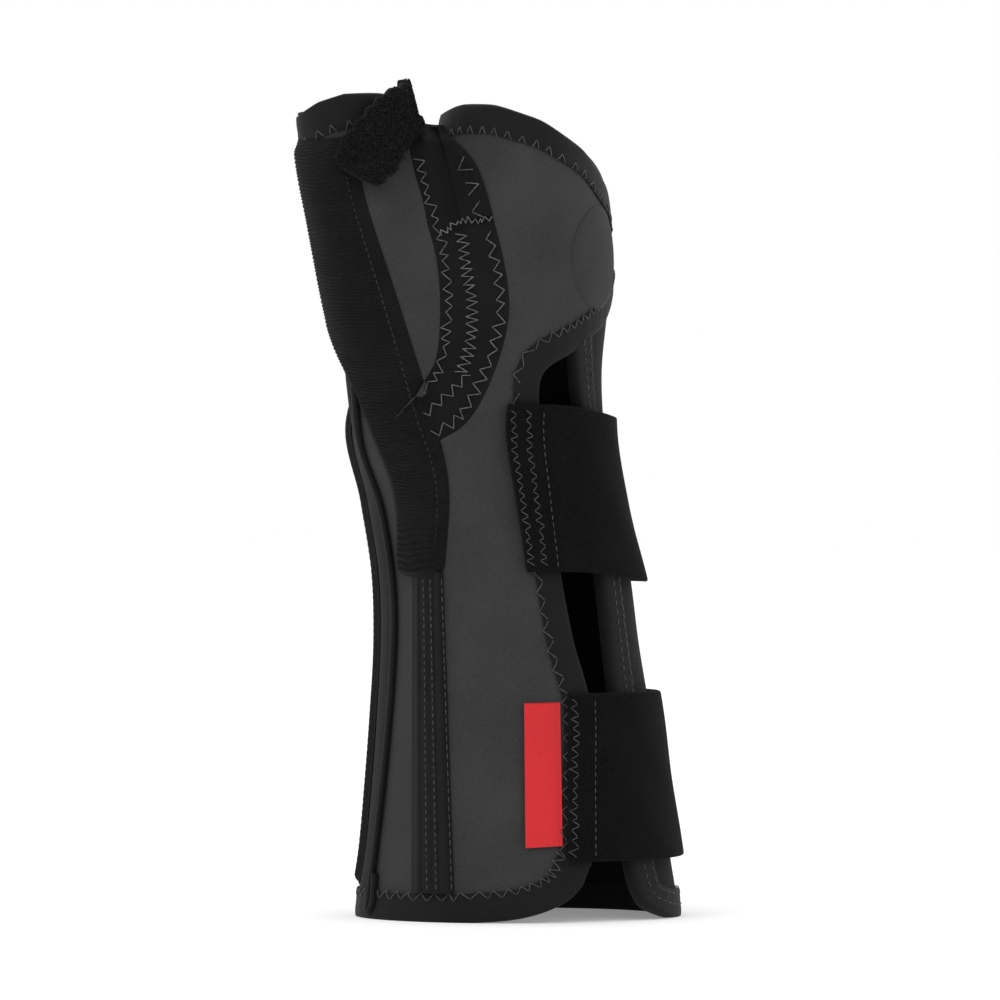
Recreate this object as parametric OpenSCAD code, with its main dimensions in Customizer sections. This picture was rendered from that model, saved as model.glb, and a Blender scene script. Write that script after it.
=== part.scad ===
// Wrist and thumb splint for a right hand.
// +Z runs from the hem to the fingers, -Y is the thumb side, +X the back of the arm,
// -X the palm side. Z = 0 is the lowest point of the hem.

/* [Sleeve] */
// Length from the hem to the wrist crease
forearm_length = 125; // [100:1:155]
// Length from the wrist crease to the thumb cuff
hand_length = 121; // [100:1:150]
// Width of the forearm end, palm to back
forearm_width = 97; // [78:1:118]
// Depth of the forearm end, thumb side to little-finger side
forearm_depth = 84; // [68:1:102]
// Thickness of the laminated fabric
fabric_thickness = 3; // [2:0.5:4]
// Gap left at a sewn seam
seam_gap = 0.25; // [0.2:0.05:0.4]

/* [Bindings] */
// Width of the binding on the sleeve's edges
binding_width = 8; // [6:0.2:10]
// Width of the binding on the thumb cuff
cuff_width = 9; // [7:0.5:12]
// How far a binding stands proud of the fabric
binding_proud = 0.5; // [0.3:0.1:1]
// Diameter of the piping cord on the palmar seam
piping_diameter = 2.6; // [2:0.2:3.4]

/* [Straps] */
// Width of each hook-and-loop strap
strap_width = 50; // [40:0.5:60]
// Thickness of the strap webbing
strap_thickness = 2.2; // [1.6:0.2:2.8]
// Thickness of each hook patch
hook_thickness = 0.9; // [0.6:0.1:1.1]
// Thickness of each loop landing pad
loop_thickness = 1; // [0.7:0.1:1.2]
// Lower edge of the forearm strap above the hem
forearm_strap_height = 18; // [14:1:24]
// Lower edge of the wrist strap above the hem
wrist_strap_height = 104; // [98:1:110]

/* [Stays] */
// Thickness of the aluminium stays
stay_thickness = 1.2; // [0.8:0.05:1.6]
// Width of the palmar stay
palmar_stay_width = 18; // [14:0.5:22]
// Width of the thumb stay
thumb_stay_width = 10; // [8:0.5:12]
// Width of the radial stay
radial_stay_width = 6; // [5:0.5:7]
// Wall of the pockets over the stays
pocket_wall = 1; // [0.8:0.1:1.4]

/* [Trim] */
// Width of the folded side label
label_width = 10.5; // [8:0.5:13]
// Height of the folded side label
label_height = 43; // [35:1:50]
// Radius of the round raised patch on the back of the hand
patch_radius = 16; // [12:0.1:20]
// Height of the round patch above the fabric
patch_height = 0.7; // [0.4:0.1:1]

/* [Hidden] */
$fn = 32;
ring_points = 56;
thumb_points = 32;

// The pattern is drawn in base size, then graded to the sizes above.
base_forearm = 125;
base_hand = 121;
base_width = 97;
base_depth = 84;
width_grade = forearm_width / base_width;
depth_grade = forearm_depth / base_depth;
function up(z) = z < base_forearm ? z * forearm_length / base_forearm
  : forearm_length + (z - base_forearm) * hand_length / base_hand;
function across(x) = x * width_grade;
function pattern(points) = [for (p = points) [across(p[0]), up(p[1])]];

// Outer face of the sleeve, base size: [z, centre x, half width, half depth]
arm_stations = [[-14, 8.5, 48.5, 42], [2, 8.5, 48.5, 42], [20, 8.5, 46, 41], [40, 7.9, 43.6, 39.5],
  [60, 7.4, 41.6, 38], [84, 6, 39, 36], [103, 4.4, 38, 34.5], [125, 0.5, 37.5, 33],
  [150, -3.6, 38, 33.5], [165, -1.2, 35.2, 36.5], [178, 3.8, 31.4, 40], [190, 7, 29.6, 43],
  [205, 8, 28.4, 44.5], [220, 8.8, 26, 44.5], [233, 8.5, 24, 43.5], [262, 8, 21, 41]];
// Outer face of the thumb part, base size: [z, centre x, centre y, radius]
thumb_stations = [[112, -16, -8, 11], [128, -20.5, -12, 14], [146, -25.5, -17.5, 15.6],
  [165, -27.3, -22, 16.4], [185, -31, -25, 17], [208, -35.4, -26, 17], [225, -40, -27, 15.6],
  [240, -43.3, -28, 14], [262, -48, -29, 13.4]];
// Soft filling of the web between thumb and hand, base size:
// [z, centre x, centre y, radius, how far the thumb end of it sits inside the thumb part]
web_stations = [[150, -2, -19, 13, 3], [175, 0, -24, 14, 3], [195, 1, -26, 13.6, 3],
  [212, -1, -24, 12, 4], [226, -5, -18, 9, 6], [235, -8, -14, 6, 8]];

function column(table, k) = [for (row = table) [row[0], row[k]]];
function arm_x(z) = across(lookup(z, column(arm_stations, 1)));
function arm_a(z) = across(lookup(z, column(arm_stations, 2)));
function arm_b(z) = lookup(z, column(arm_stations, 3)) * depth_grade;
function thumb_x(z) = across(lookup(z, column(thumb_stations, 1)));
function thumb_y(z) = lookup(z, column(thumb_stations, 2)) * depth_grade;
function thumb_r(z) = lookup(z, column(thumb_stations, 3));

// Turns on the sleeve: 0 faces the thumb side, 90 the back of the arm, 180 the little finger.
function arm_point(turn, z, off) = [arm_x(z) + (arm_a(z) + off) * sin(turn),
  -(arm_b(z) + off) * cos(turn), up(z)];
function arm_turn(x, z) = asin(max(-1, min(1, (across(x) - arm_x(z)) / arm_a(z))));
function thumb_point(turn, z, off) = [thumb_x(z) + (thumb_r(z) + off) * sin(turn),
  thumb_y(z) - (thumb_r(z) + off) * cos(turn), up(z)];
function blend(a, b, t) = a + (b - a) * t;
function ease(t) = let (s = max(0, min(1, t))) s * s * (3 - 2 * s);

function arm_ring(z, off) = [for (i = [0 : ring_points - 1])
  arm_point(i * 360 / ring_points, z, off)];
function tube_ring(row, off) = [for (i = [0 : thumb_points - 1])
  let (turn = i * 360 / thumb_points)
  [across(row[1]) + (row[3] + off) * sin(turn), row[2] * depth_grade - (row[3] + off) * cos(turn),
    up(row[0])]];

// One convex slice between two rings.
module slice(low, high) {
  count = len(low);
  hull() polyhedron(points = concat(low, high),
    faces = [[for (i = [0 : count - 1]) i], [for (i = [0 : count - 1]) 2 * count - 1 - i]]);
}

module arm_form(off) {
  for (k = [0 : len(arm_stations) - 2])
    slice(arm_ring(arm_stations[k][0], off), arm_ring(arm_stations[k + 1][0], off));
}

module thumb_form(off) {
  for (k = [0 : len(thumb_stations) - 2])
    slice(tube_ring(thumb_stations[k], off), tube_ring(thumb_stations[k + 1], off));
}

// The web bridges the thumb to the hand below the web fold.
module web_end(row, off, top) {
  thumb_row = [row[0], lookup(row[0], column(thumb_stations, 1)),
    lookup(row[0], column(thumb_stations, 2)), lookup(row[0], column(thumb_stations, 3)) - row[4]];
  translate([0, 0, top]) slice(tube_ring(row, off), tube_ring(thumb_row, off));
}

module web_form(off) {
  last = len(web_stations) - 1;
  for (k = [0 : last - 1]) hull() {
    web_end(web_stations[k], off, 0);
    web_end(web_stations[k + 1], off, k + 1 == last ? min(off, 0) : 0);
  }
}

module form(off) {
  arm_form(off);
  thumb_form(off);
  web_form(off);
}

// A layer that follows the whole outer face, between two heights above it.
module layer(inner, outer) {
  difference() {
    form(outer);
    form(inner);
  }
}

// Smooth curve through points.
function knot(p, i) = p[max(0, min(len(p) - 1, i))];
function along(p, i, t) = let (a = knot(p, i - 1), b = p[i], c = knot(p, i + 1), d = knot(p, i + 2))
  0.5 * (2 * b + (c - a) * t + (2 * a - 5 * b + 4 * c - d) * t * t
    + (3 * b - a - 3 * c + d) * t * t * t);
curve_steps = 4;
function curve(p) = concat([for (i = [0 : len(p) - 2]) for (j = [0 : curve_steps - 1])
  along(p, i, j / curve_steps)], [p[len(p) - 1]]);
function reverse(p) = [for (i = [len(p) - 1 : -1 : 0]) p[i]];
function side_step(p, i) = let (d = knot(p, i + 1) - knot(p, i - 1)) [-d[1], d[0]] / norm(d);
function shifted(p, width) = [for (i = [0 : len(p) - 1]) p[i] + side_step(p, i) * width];

// Pattern lines seen from the thumb side, base size: [across, up]. "far" lies past the sleeve.
far = 90;
hem_front = curve([[-far, 0], [-30, 0], [-8, 0.4], [8, 1.8], [19, 5], [26, 10], [29.5, 18]]);
hem_back = [[-far, 0], [far, 0]];
slot_radial = curve([[29.5, 18], [30, 45], [29, 66], [24.2, 84], [20.3, 105], [16.5, 130], [14.5, 150],
  [14.3, 160], [17, 165.5], [25, 170.5], [32.5, 177], [37, 188], [44, 196]]);
slot_ulnar = curve([[25.5, 172], [27.5, 152], [31.5, 125], [33.8, 105], [37.8, 68], [41, 38],
  [42.5, 17], [46, 6], [53, 1], [60, 0], [far, 0]]);
hand_top_front = curve([[-22, 237], [-15.5, 241], [-9, 243], [1, 242.2], [16, 237.4], [28, 229.6],
  [35, 219], [44, 212]]);
hand_top_back = curve([[far, 213], [34, 214], [16, 209], [2, 211], [-8, 222], [-16, 237], [-22, 240]]);
cuff_top = curve([[-70, 238], [-57, 239.5], [-51, 243], [-43, 245.3], [-31, 246], [-22, 246]]);
piping_line = curve([[-37.8, 2], [-34.6, 27], [-30.8, 65], [-29.8, 95], [-33.4, 122], [-39.6, 142],
  [-41.6, 163]]);
web_hand_side = curve([[-22, 139], [-15.3, 143.5], [-6.6, 149.2], [0, 160.7], [4.8, 176], [5.1, 189.5],
  [0.9, 208.7], [-4.8, 225.8], [-15.6, 238]]);
web_thumb_side = curve([[-28, 151], [-21, 158.9], [-15.9, 168.5], [-14.7, 183.8], [-15.9, 199.1],
  [-20, 214], [-23.5, 230], [-25.5, 242]]);
web_fold = curve([[-16, 238], [-12, 224], [-8.7, 208.7]]);
pocket_seam = curve([[-44, 167], [-34, 160], [-28, 151], [-22, 139]]);
thumb_pocket_palm_side = curve([[-62, 233], [-56, 208], [-50, 186], [-44, 167], [-35.4, 145.3],
  [-28.8, 126.4], [-27.9, 103.3]]);
thumb_pocket_hand_side = curve([[-41.8, 233], [-39.3, 216.2], [-29.7, 183.8], [-20.1, 153.2],
  [-14.1, 130], [-15.3, 103.3]]);

// A pattern outline, graded and drawn in shape by its points.
module outline(points) {
  polygon(pattern(points));
}

// Carries an outline drawn across and up through the sleeve, from one depth to another.
module through(near, deep) {
  translate([0, deep, 0]) rotate([90, 0, 0]) linear_extrude(deep - near) children();
}

front = -far;
back = far;
thumb_split = -24 * depth_grade;
stay_split = -20 * depth_grade;
web_split = -12 * depth_grade;
thumb_heel = -19 * depth_grade;
palm_line = -16;
hand_wrap = 22;

// Outlines that bound some zones, base size.
hand_back_outline = [[hand_wrap, 192], [37, 188], [far, 188], [far, 213], [34, 214], [hand_wrap, 211]];
hand_back_edge = [[far, 188], [37, 188], [hand_wrap, 192]];
heel_outline = [[-far, 141], [-37, 141], [-37, 170], [-far, 170]];
hand_top_limit = [[-17, 190], [far, 190], [far, 250], [-17, 250]];
cuff_limit = [[-far, 220], [-23, 220], [-23, 250], [-far, 250]];
tape_outline = [[-23.2, 102.6], [-23.4, 9.5], [-10.6, 9.5], [-14, 102.6]];
slot_top = [[far, 190], [25.5, 190]];
leaf_limit = [[30, 208.7], [30, 246]];
above_all = 250;

// Strips of binding along the edges, drawn grown by an amount.
module edge_strip(line, width, grow = 0) {
  offset(delta = grow) polygon(concat(pattern(line), reverse(shifted(pattern(line), width))));
}

module sleeve_front() {
  outline(concat([[-far, 0], [far, 0], [far, 212]], reverse(hand_top_front), reverse(cuff_top),
    [[-far, 238]]));
}

module sleeve_back() {
  outline(concat([[-far, 0], [far, 0]], hand_top_back, reverse(cuff_top), [[-far, 238]]));
}

module main_front() {
  outline(concat(hem_front, slot_radial, [[far, 200], [far, 212]], reverse(hand_top_front),
    reverse(web_hand_side), reverse(pocket_seam), reverse(piping_line)));
}

module main_back() {
  outline(hand_back_outline);
}

module web_whole() {
  outline(concat(web_thumb_side, reverse(web_hand_side)));
}

module leaf_front() {
  intersection() {
    web_whole();
    outline(concat(web_fold, leaf_limit));
  }
}

module web_front() {
  difference() {
    web_whole();
    offset(delta = seam_gap) leaf_front();
  }
}

module thumb_front() {
  outline(concat([[-far, 167], [-44, 167], [-34, 160]], web_thumb_side, reverse(cuff_top),
    [[-far, 238]]));
}

module ulnar_front() {
  difference() {
    outline(concat(slot_ulnar, slot_top));
    offset(delta = seam_gap) main_front();
  }
}

module palm_front() {
  outline(concat([[-far, 0]], piping_line, [[-12, 163], [-12, 212], [-22, 246]], reverse(cuff_top),
    [[-far, 238]]));
}

// Each zone is a region of space; a piece is the part of a layer inside its zone.
module zone_main(grow) {
  spill = max(grow, 0);
  difference() {
    through(front, spill) offset(delta = grow) main_front();
    through(thumb_heel - grow, far) outline(heel_outline);
  }
  through(-spill, back) offset(delta = grow) main_back();
}

module zone_thumb(grow) {
  through(front, thumb_split + grow) offset(delta = grow) thumb_front();
}

module zone_web(grow) {
  through(front, web_split + grow) offset(delta = grow) web_front();
}

module zone_leaf(grow) {
  through(front, web_split + grow) offset(delta = grow) leaf_front();
}

module zone_ulnar(grow) {
  through(front, 0) offset(delta = grow) ulnar_front();
  through(0, back) offset(delta = grow) difference() {
    intersection() {
      sleeve_back();
      outline([[palm_line, 0], [far, 0], [far, above_all], [palm_line, above_all]]);
    }
    offset(delta = seam_gap) main_back();
  }
}

module zone_hem(grow) {
  through(front, 0) edge_strip(hem_front, binding_width, grow);
  through(0, back) edge_strip(hem_back, binding_width, grow);
}

module zone_radial_edge(grow) {
  through(front, 0) difference() {
    edge_strip(slot_radial, binding_width, grow);
    edge_strip(hem_front, binding_width, seam_gap - grow);
  }
  through(0, back) edge_strip(hand_back_edge, -binding_width, grow);
}

module zone_ulnar_edge(grow) {
  through(front, 0) difference() {
    edge_strip(slot_ulnar, binding_width, grow);
    offset(delta = seam_gap) main_front();
  }
}

module zone_hand_top(grow) {
  intersection() {
    through(front, back) offset(delta = grow) outline(hand_top_limit);
    union() {
      through(front, 0) edge_strip(hand_top_front, -binding_width, grow);
      through(0, back) edge_strip(hand_top_back, binding_width, grow);
    }
  }
}

module zone_cuff(grow) {
  intersection() {
    through(front, back) edge_strip(cuff_top, -cuff_width, grow);
    through(front, back) offset(delta = grow) outline(cuff_limit);
  }
}

module zone_edges(grow) {
  zone_hem(grow);
  zone_radial_edge(grow);
  zone_ulnar_edge(grow);
  zone_hand_top(grow);
  zone_cuff(grow);
}

// A panel of fabric: its zone, less the bindings on its edges.
module panel() {
  difference() {
    intersection() {
      layer(-fabric_thickness, 0);
      children();
    }
    zone_edges(seam_gap / 2);
  }
}

// A binding folded over an edge, a little thicker than the fabric in it.
module binding() {
  color("#26272a") intersection() {
    layer(-fabric_thickness - binding_proud, binding_proud);
    children();
  }
}

module main_panel() {
  color("#45464a") panel() zone_main(-seam_gap / 2);
}

module thumb_panel() {
  color("#45464a") panel() zone_thumb(-seam_gap / 2);
}

module web_insert() {
  color("#2a2b2e") panel() zone_web(-seam_gap / 2);
}

module web_leaf() {
  color("#2a2b2e") panel() zone_leaf(-seam_gap / 2);
}

module ulnar_panel() {
  color("#2a2b2e") difference() {
    panel() zone_ulnar(-seam_gap / 2);
    through(front, -seam_gap) offset(delta = seam_gap) main_front();
  }
}

module palmar_panel() {
  color("#202124") difference() {
    panel() {
      through(front, seam_gap) palm_front();
      through(0, back) intersection() {
        sleeve_back();
        outline([[-far, 0], [palm_line - seam_gap, 0], [palm_line - seam_gap, above_all],
          [-far, above_all]]);
      }
    }
    zone_main(seam_gap / 2);
    zone_thumb(seam_gap / 2);
    zone_web(seam_gap / 2);
    zone_leaf(seam_gap / 2);
  }
}

module hand_top_binding() {
  binding() zone_hand_top(-seam_gap / 2);
}

module thumb_cuff_binding() {
  binding() zone_cuff(-seam_gap / 2);
}

module radial_edge_binding() {
  binding() zone_radial_edge(-seam_gap / 2);
}

module ulnar_edge_binding() {
  binding() difference() {
    zone_ulnar_edge(-seam_gap / 2);
    zone_hem(seam_gap / 2);
  }
}

module hem_binding() {
  binding() zone_hem(-seam_gap / 2);
}

// A closed solid between two curved sheets; at(u, v, w) gives a point, w = 0 inside, 1 outside.
module sheet(nu, nv, at) {
  row = nv + 1;
  side = (nu + 1) * row;
  points = [for (w = [0, 1]) for (i = [0 : nu]) for (j = [0 : nv]) at(i / nu, j / nv, w)];
  function k(w, i, j) = w * side + i * row + j;
  faces = [for (i = [0 : nu - 1]) for (j = [0 : nv - 1]) each [
      [k(1, i, j), k(1, i, j + 1), k(1, i + 1, j + 1)],
      [k(1, i, j), k(1, i + 1, j + 1), k(1, i + 1, j)],
      [k(0, i, j), k(0, i + 1, j + 1), k(0, i, j + 1)],
      [k(0, i, j), k(0, i + 1, j), k(0, i + 1, j + 1)]]];
  low_high = [for (i = [0 : nu - 1]) each [
      [k(1, i, 0), k(1, i + 1, 0), k(0, i + 1, 0)], [k(1, i, 0), k(0, i + 1, 0), k(0, i, 0)],
      [k(1, i + 1, nv), k(1, i, nv), k(0, i, nv)], [k(1, i + 1, nv), k(0, i, nv), k(0, i + 1, nv)]]];
  ends = [for (j = [0 : nv - 1]) each [
      [k(1, 0, j + 1), k(1, 0, j), k(0, 0, j)], [k(1, 0, j + 1), k(0, 0, j), k(0, 0, j + 1)],
      [k(1, nu, j), k(1, nu, j + 1), k(0, nu, j + 1)], [k(1, nu, j), k(0, nu, j + 1), k(0, nu, j)]]];
  polyhedron(points = points, faces = concat(faces, low_high, ends));
}

// A cord along the palmar seam, over the forearm and then up the base of the thumb.
thumb_start = 132;
thumb_rise = 20;
function over_thumb(z) = ease((z - thumb_start) / thumb_rise);
piping_arch = 0.7;
function piping_lift(z) = piping_arch * sin(180 * over_thumb(z));
function thumb_turn(x, z) = asin(max(-1, min(1, (across(x) - thumb_x(z)) / thumb_r(z))));
function piping_at(p, off) = let (rise = off + piping_lift(p[1]))
  blend(arm_point(arm_turn(p[0], p[1]), p[1], rise),
    thumb_point(thumb_turn(p[0], p[1]), p[1], rise), over_thumb(p[1]));

piping_start = 2.5;
piping_stop = 154;
module palmar_piping() {
  sides = 8;
  rise = piping_diameter / 2;
  line = [for (p = piping_line) if (p[1] > piping_start && p[1] < piping_stop)
    piping_at(p, rise + seam_gap)];
  count = len(line);
  points = [for (c = line) for (i = [0 : sides - 1])
    c + rise * [cos(i * 360 / sides), sin(i * 360 / sides), 0]];
  walls = [for (k = [0 : count - 2]) for (i = [0 : sides - 1]) let (n = (i + 1) % sides)
    [k * sides + i, (k + 1) * sides + i, (k + 1) * sides + n, k * sides + n]];
  color("#26272a") polyhedron(points = points, faces = concat(walls,
    [[for (i = [0 : sides - 1]) i], [for (i = [sides - 1 : -1 : 0]) (count - 1) * sides + i]]));
}

// Stays lie on the fabric, each under a pocket with a little room.
stay_lift = 0.1;
stay_room = 0.2;
pocket_margin = 3;
thumb_stay_line = curve([[-47, 226], [-44.5, 208], [-39, 186], [-34.5, 167], [-27.3, 145.3],
  [-21.8, 126.4], [-21.5, 107]]);
radial_stay_line = [[-18.5, 98], [-18.2, 60], [-17.2, 14]];
palmar_stay_line = curve([[11, 12], [11, 60], [12, 120], [14, 165], [13, 203]]);

module strip_about(line, width) {
  points = [for (p = line) [across(p[0]), up(p[1])]];
  polygon(concat(shifted(points, width / 2), reverse(shifted(points, -width / 2))));
}

module stay() {
  color("#b9bcc0") intersection() {
    layer(stay_lift, stay_lift + stay_thickness);
    children();
  }
}

// A cover with a channel; its first child is the cover's zone, its second the stay's own zone.
module pocket() {
  roof = stay_lift + stay_thickness + stay_room;
  color("#141416") difference() {
    intersection() {
      layer(stay_lift / 2, roof + pocket_wall);
      children(0);
    }
    intersection() {
      layer(-1, roof);
      children(1);
    }
  }
}

module thumb_stay() {
  stay() through(front, stay_split) strip_about(thumb_stay_line, thumb_stay_width);
}

module thumb_stay_pocket() {
  pocket() {
    difference() {
      through(front, thumb_split / 2) outline(concat(thumb_pocket_palm_side,
        reverse(thumb_pocket_hand_side)));
      zone_cuff(seam_gap);
    }
    through(front, stay_split) offset(delta = stay_room) strip_about(thumb_stay_line, thumb_stay_width);
  }
}

module radial_stay() {
  stay() through(front, 0) strip_about(radial_stay_line, radial_stay_width);
}

module radial_stay_tape() {
  pocket() {
    through(front, 0) outline(tape_outline);
    through(front, 0) offset(delta = stay_room) strip_about(radial_stay_line, radial_stay_width);
  }
}

// Carries an outline drawn in depth and height through the palm side.
module through_palm() {
  translate([-far, 0, 0]) rotate([90, 0, 90]) linear_extrude(far - 10) children();
}

module depth_strip(line, width) {
  points = [for (p = line) [p[0] * depth_grade, up(p[1])]];
  polygon(concat(shifted(points, width / 2), reverse(shifted(points, -width / 2))));
}

module palmar_stay() {
  stay() through_palm() depth_strip(palmar_stay_line, palmar_stay_width);
}

module palmar_stay_pocket() {
  cover_line = concat([[11, 9.5]], palmar_stay_line, [[13, 206]]);
  pocket() {
    through_palm() depth_strip(cover_line, palmar_stay_width + 2 * pocket_margin);
    through_palm() offset(delta = stay_room) depth_strip(palmar_stay_line, palmar_stay_width);
  }
}

// A strap's layers, from the panel out: loop pad, hook patch, webbing.
pad_lift = 0.1;
hook_lift = pad_lift + loop_thickness + 0.3;
strap_over = hook_lift + hook_thickness + 0.1;
strap_root = binding_proud + 0.5;
hinge_gap = 0.5;
strap_end = 164;
// Turns where the strap starts and ends its droop, and where it climbs onto the hook patch
droop_start = 30;
droop_span = 60;
climb_start = 60;
climb_span = 90;
hook_start = strap_end + 4;
hook_margin = 3;
pad_start = strap_end - 14;
pad_past = 4;
pad_margin = 1.5;

// Straps: [lower edge, droop towards the back, hinge across at low and high edge,
//   sewn edge across at low and high edge, turn at the free end]
wrist_set = [wrist_strap_height, 4, [20.4, 16], [10.5, 4.8], 204];
forearm_set = [forearm_strap_height, 0, [30.6, 30], [22.6, 22.6], 200];

function base_height(z) = z < forearm_length ? z * base_forearm / forearm_length
  : base_forearm + (z - forearm_length) * base_hand / hand_length;
function strap_z(set, turn, v) = base_height(set[0] + v * strap_width
  - set[1] * ease((turn - droop_start) / droop_span));
function line_turn(line, set, v) = let (z = base_height(set[0] + v * strap_width))
  arm_turn(blend(line[0], line[1], v), z);
function strap_lift(turn) = blend(strap_root, strap_over, ease((turn - climb_start) / climb_span));
function strap_point(set, turn, v, off) = arm_point(turn, strap_z(set, turn, v), off);
function hinge_turn(set, v) = line_turn(set[2], set, v);

module webbing(set, from, to, pieces) {
  color("#121214") sheet(pieces, 3, function (u, v, w) let (turn = blend(from(v), to(v), u))
    strap_point(set, turn, v, strap_lift(turn) + w * strap_thickness));
}

module strap_body(set) {
  webbing(set, function (v) hinge_turn(set, v) + hinge_gap, function (v) strap_end, 18);
}

module strap_anchor(set) {
  webbing(set, function (v) line_turn(set[3], set, v), function (v) hinge_turn(set, v) - hinge_gap, 3);
}

module strap_tab(set) {
  webbing(set, function (v) strap_end + 2 * hinge_gap, function (v) set[4], 6);
}

// A flat patch under the tab, inset from the strap's edges.
module strap_patch(set, from, to, inset, lift, thickness) {
  rim = inset / strap_width;
  sheet(7, 3, function (u, v, w)
    strap_point(set, blend(from, to, u), blend(rim, 1 - rim, v), lift + w * thickness));
}

module strap_hook(set) {
  color("#1d1d20") strap_patch(set, hook_start, set[4] - 1, hook_margin, hook_lift, hook_thickness);
}

module strap_pad(set) {
  color("#18181a") strap_patch(set, pad_start, set[4] + pad_past, pad_margin, pad_lift, loop_thickness);
}

module wrist_strap() { strap_body(wrist_set); }
module wrist_strap_anchor() { strap_anchor(wrist_set); }
module wrist_strap_tab() { strap_tab(wrist_set); }
module wrist_hook_patch() { strap_hook(wrist_set); }
module wrist_loop_pad() { strap_pad(wrist_set); }
module forearm_strap() { strap_body(forearm_set); }
module forearm_strap_anchor() { strap_anchor(forearm_set); }
module forearm_strap_tab() { strap_tab(forearm_set); }
module forearm_hook_patch() { strap_hook(forearm_set); }
module forearm_loop_pad() { strap_pad(forearm_set); }

// The thumb closure climbs from the front of the thumb to a root beside the hand.
closure_width = 13.5;
closure_thickness = 2.6;
closure_low = 223.5;
closure_climb = 19;
closure_lean = 1.9;
closure_free = -6;
closure_hinge = 92;
closure_root = 122;
closure_slant = 35;
straight_from = 55;
straight_span = 35;
closure_step = 15;
closure_step_span = 50;
closure_patch_end = 14;
closure_patch_margin = 4;
pocket_top = stay_lift + stay_thickness + stay_room + pocket_wall;
closure_hook_lift = pocket_top + 0.3;

function closure_lift(turn) = blend(closure_hook_lift + hook_thickness + 0.1, binding_proud + 0.3,
  ease((turn - closure_step) / closure_step_span));
function closure_point(turn, reach, off) =
  let (slant = 1 - ease((turn - straight_from) / straight_span),
    t = turn - reach * closure_lean * slant,
    z = closure_low + closure_climb * sin(max(0, min(90, turn))))
  thumb_point(t, z + reach * cos(closure_slant * slant), off);

module closure_strip(from, to, pieces) {
  color("#161618") sheet(pieces, 3, function (u, v, w) let (turn = blend(from, to, u))
    closure_point(turn, (v - 0.5) * closure_width, closure_lift(turn) + w * closure_thickness));
}

module thumb_closure() { closure_strip(closure_free, closure_hinge - 2, 14); }
module thumb_closure_root() { closure_strip(closure_hinge, closure_root, 4); }

module thumb_hook_patch() {
  color("#1d1d20") sheet(6, 4, function (u, v, w) closure_point(blend(closure_free + 3, closure_patch_end, u),
    (v - 0.5) * (closure_width - closure_patch_margin), closure_hook_lift + w * hook_thickness));
}

// Sets the part down on its lowest point, in the middle of its own box.
box_middle = [-0.46, -1.7];
module placed() {
  translate([-across(box_middle[0]), -box_middle[1] * depth_grade, -seam_gap / 2]) children();
}

label_edge = 21.2;
label_bottom = 22;
label_thickness = 0.8;
module side_label() {
  color("#c8102e") intersection() {
    layer(stay_lift, stay_lift + label_thickness);
    through(front, 0) translate([across(label_edge) - label_width, up(label_bottom)])
      square([label_width, label_height]);
  }
}

patch_turn = 61;
patch_z = 198;
patch_reach = 30;
module round_patch() {
  color("#3c3d40") difference() {
    intersection() {
      layer(stay_lift, stay_lift + patch_height);
      translate(arm_point(patch_turn, patch_z, 0)) rotate([0, 0, patch_turn - 90]) rotate([0, 90, 0])
        cylinder(r = patch_radius, h = patch_reach, center = true, $fn = 48);
    }
    zone_radial_edge(seam_gap);
    zone_hand_top(seam_gap);
  }
}

placed() main_panel();
placed() thumb_panel();
placed() web_insert();
placed() web_leaf();
placed() palmar_panel();
placed() ulnar_panel();
placed() hand_top_binding();
placed() thumb_cuff_binding();
placed() radial_edge_binding();
placed() ulnar_edge_binding();
placed() hem_binding();
placed() palmar_piping();
placed() palmar_stay();
placed() palmar_stay_pocket();
placed() thumb_stay();
placed() thumb_stay_pocket();
placed() radial_stay();
placed() radial_stay_tape();
placed() wrist_strap();
placed() wrist_strap_anchor();
placed() wrist_strap_tab();
placed() wrist_hook_patch();
placed() wrist_loop_pad();
placed() forearm_strap();
placed() forearm_strap_anchor();
placed() forearm_strap_tab();
placed() forearm_hook_patch();
placed() forearm_loop_pad();
placed() thumb_closure();
placed() thumb_closure_root();
placed() thumb_hook_patch();
placed() side_label();
placed() round_patch();
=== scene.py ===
import bpy
import math
import numpy as np
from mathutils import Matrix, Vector


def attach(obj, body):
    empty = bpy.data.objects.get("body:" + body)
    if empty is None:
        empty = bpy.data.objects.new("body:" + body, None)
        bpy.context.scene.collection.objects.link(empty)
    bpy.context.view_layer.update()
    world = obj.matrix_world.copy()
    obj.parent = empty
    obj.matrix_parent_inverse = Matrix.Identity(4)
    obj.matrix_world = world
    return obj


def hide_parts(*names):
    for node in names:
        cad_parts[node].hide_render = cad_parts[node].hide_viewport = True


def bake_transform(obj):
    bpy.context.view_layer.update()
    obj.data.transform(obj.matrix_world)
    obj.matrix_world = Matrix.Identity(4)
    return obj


# Looks of the wrist splint: cloth, webbing and thread over the frame of CAD solids.
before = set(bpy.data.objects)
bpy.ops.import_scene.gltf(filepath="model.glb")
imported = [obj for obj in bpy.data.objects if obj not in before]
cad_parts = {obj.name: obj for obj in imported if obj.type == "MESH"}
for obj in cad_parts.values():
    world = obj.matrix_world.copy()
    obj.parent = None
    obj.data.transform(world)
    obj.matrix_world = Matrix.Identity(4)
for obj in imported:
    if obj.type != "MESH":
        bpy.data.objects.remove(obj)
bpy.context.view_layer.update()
print("frame loaded")

mm = 0.001

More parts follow.
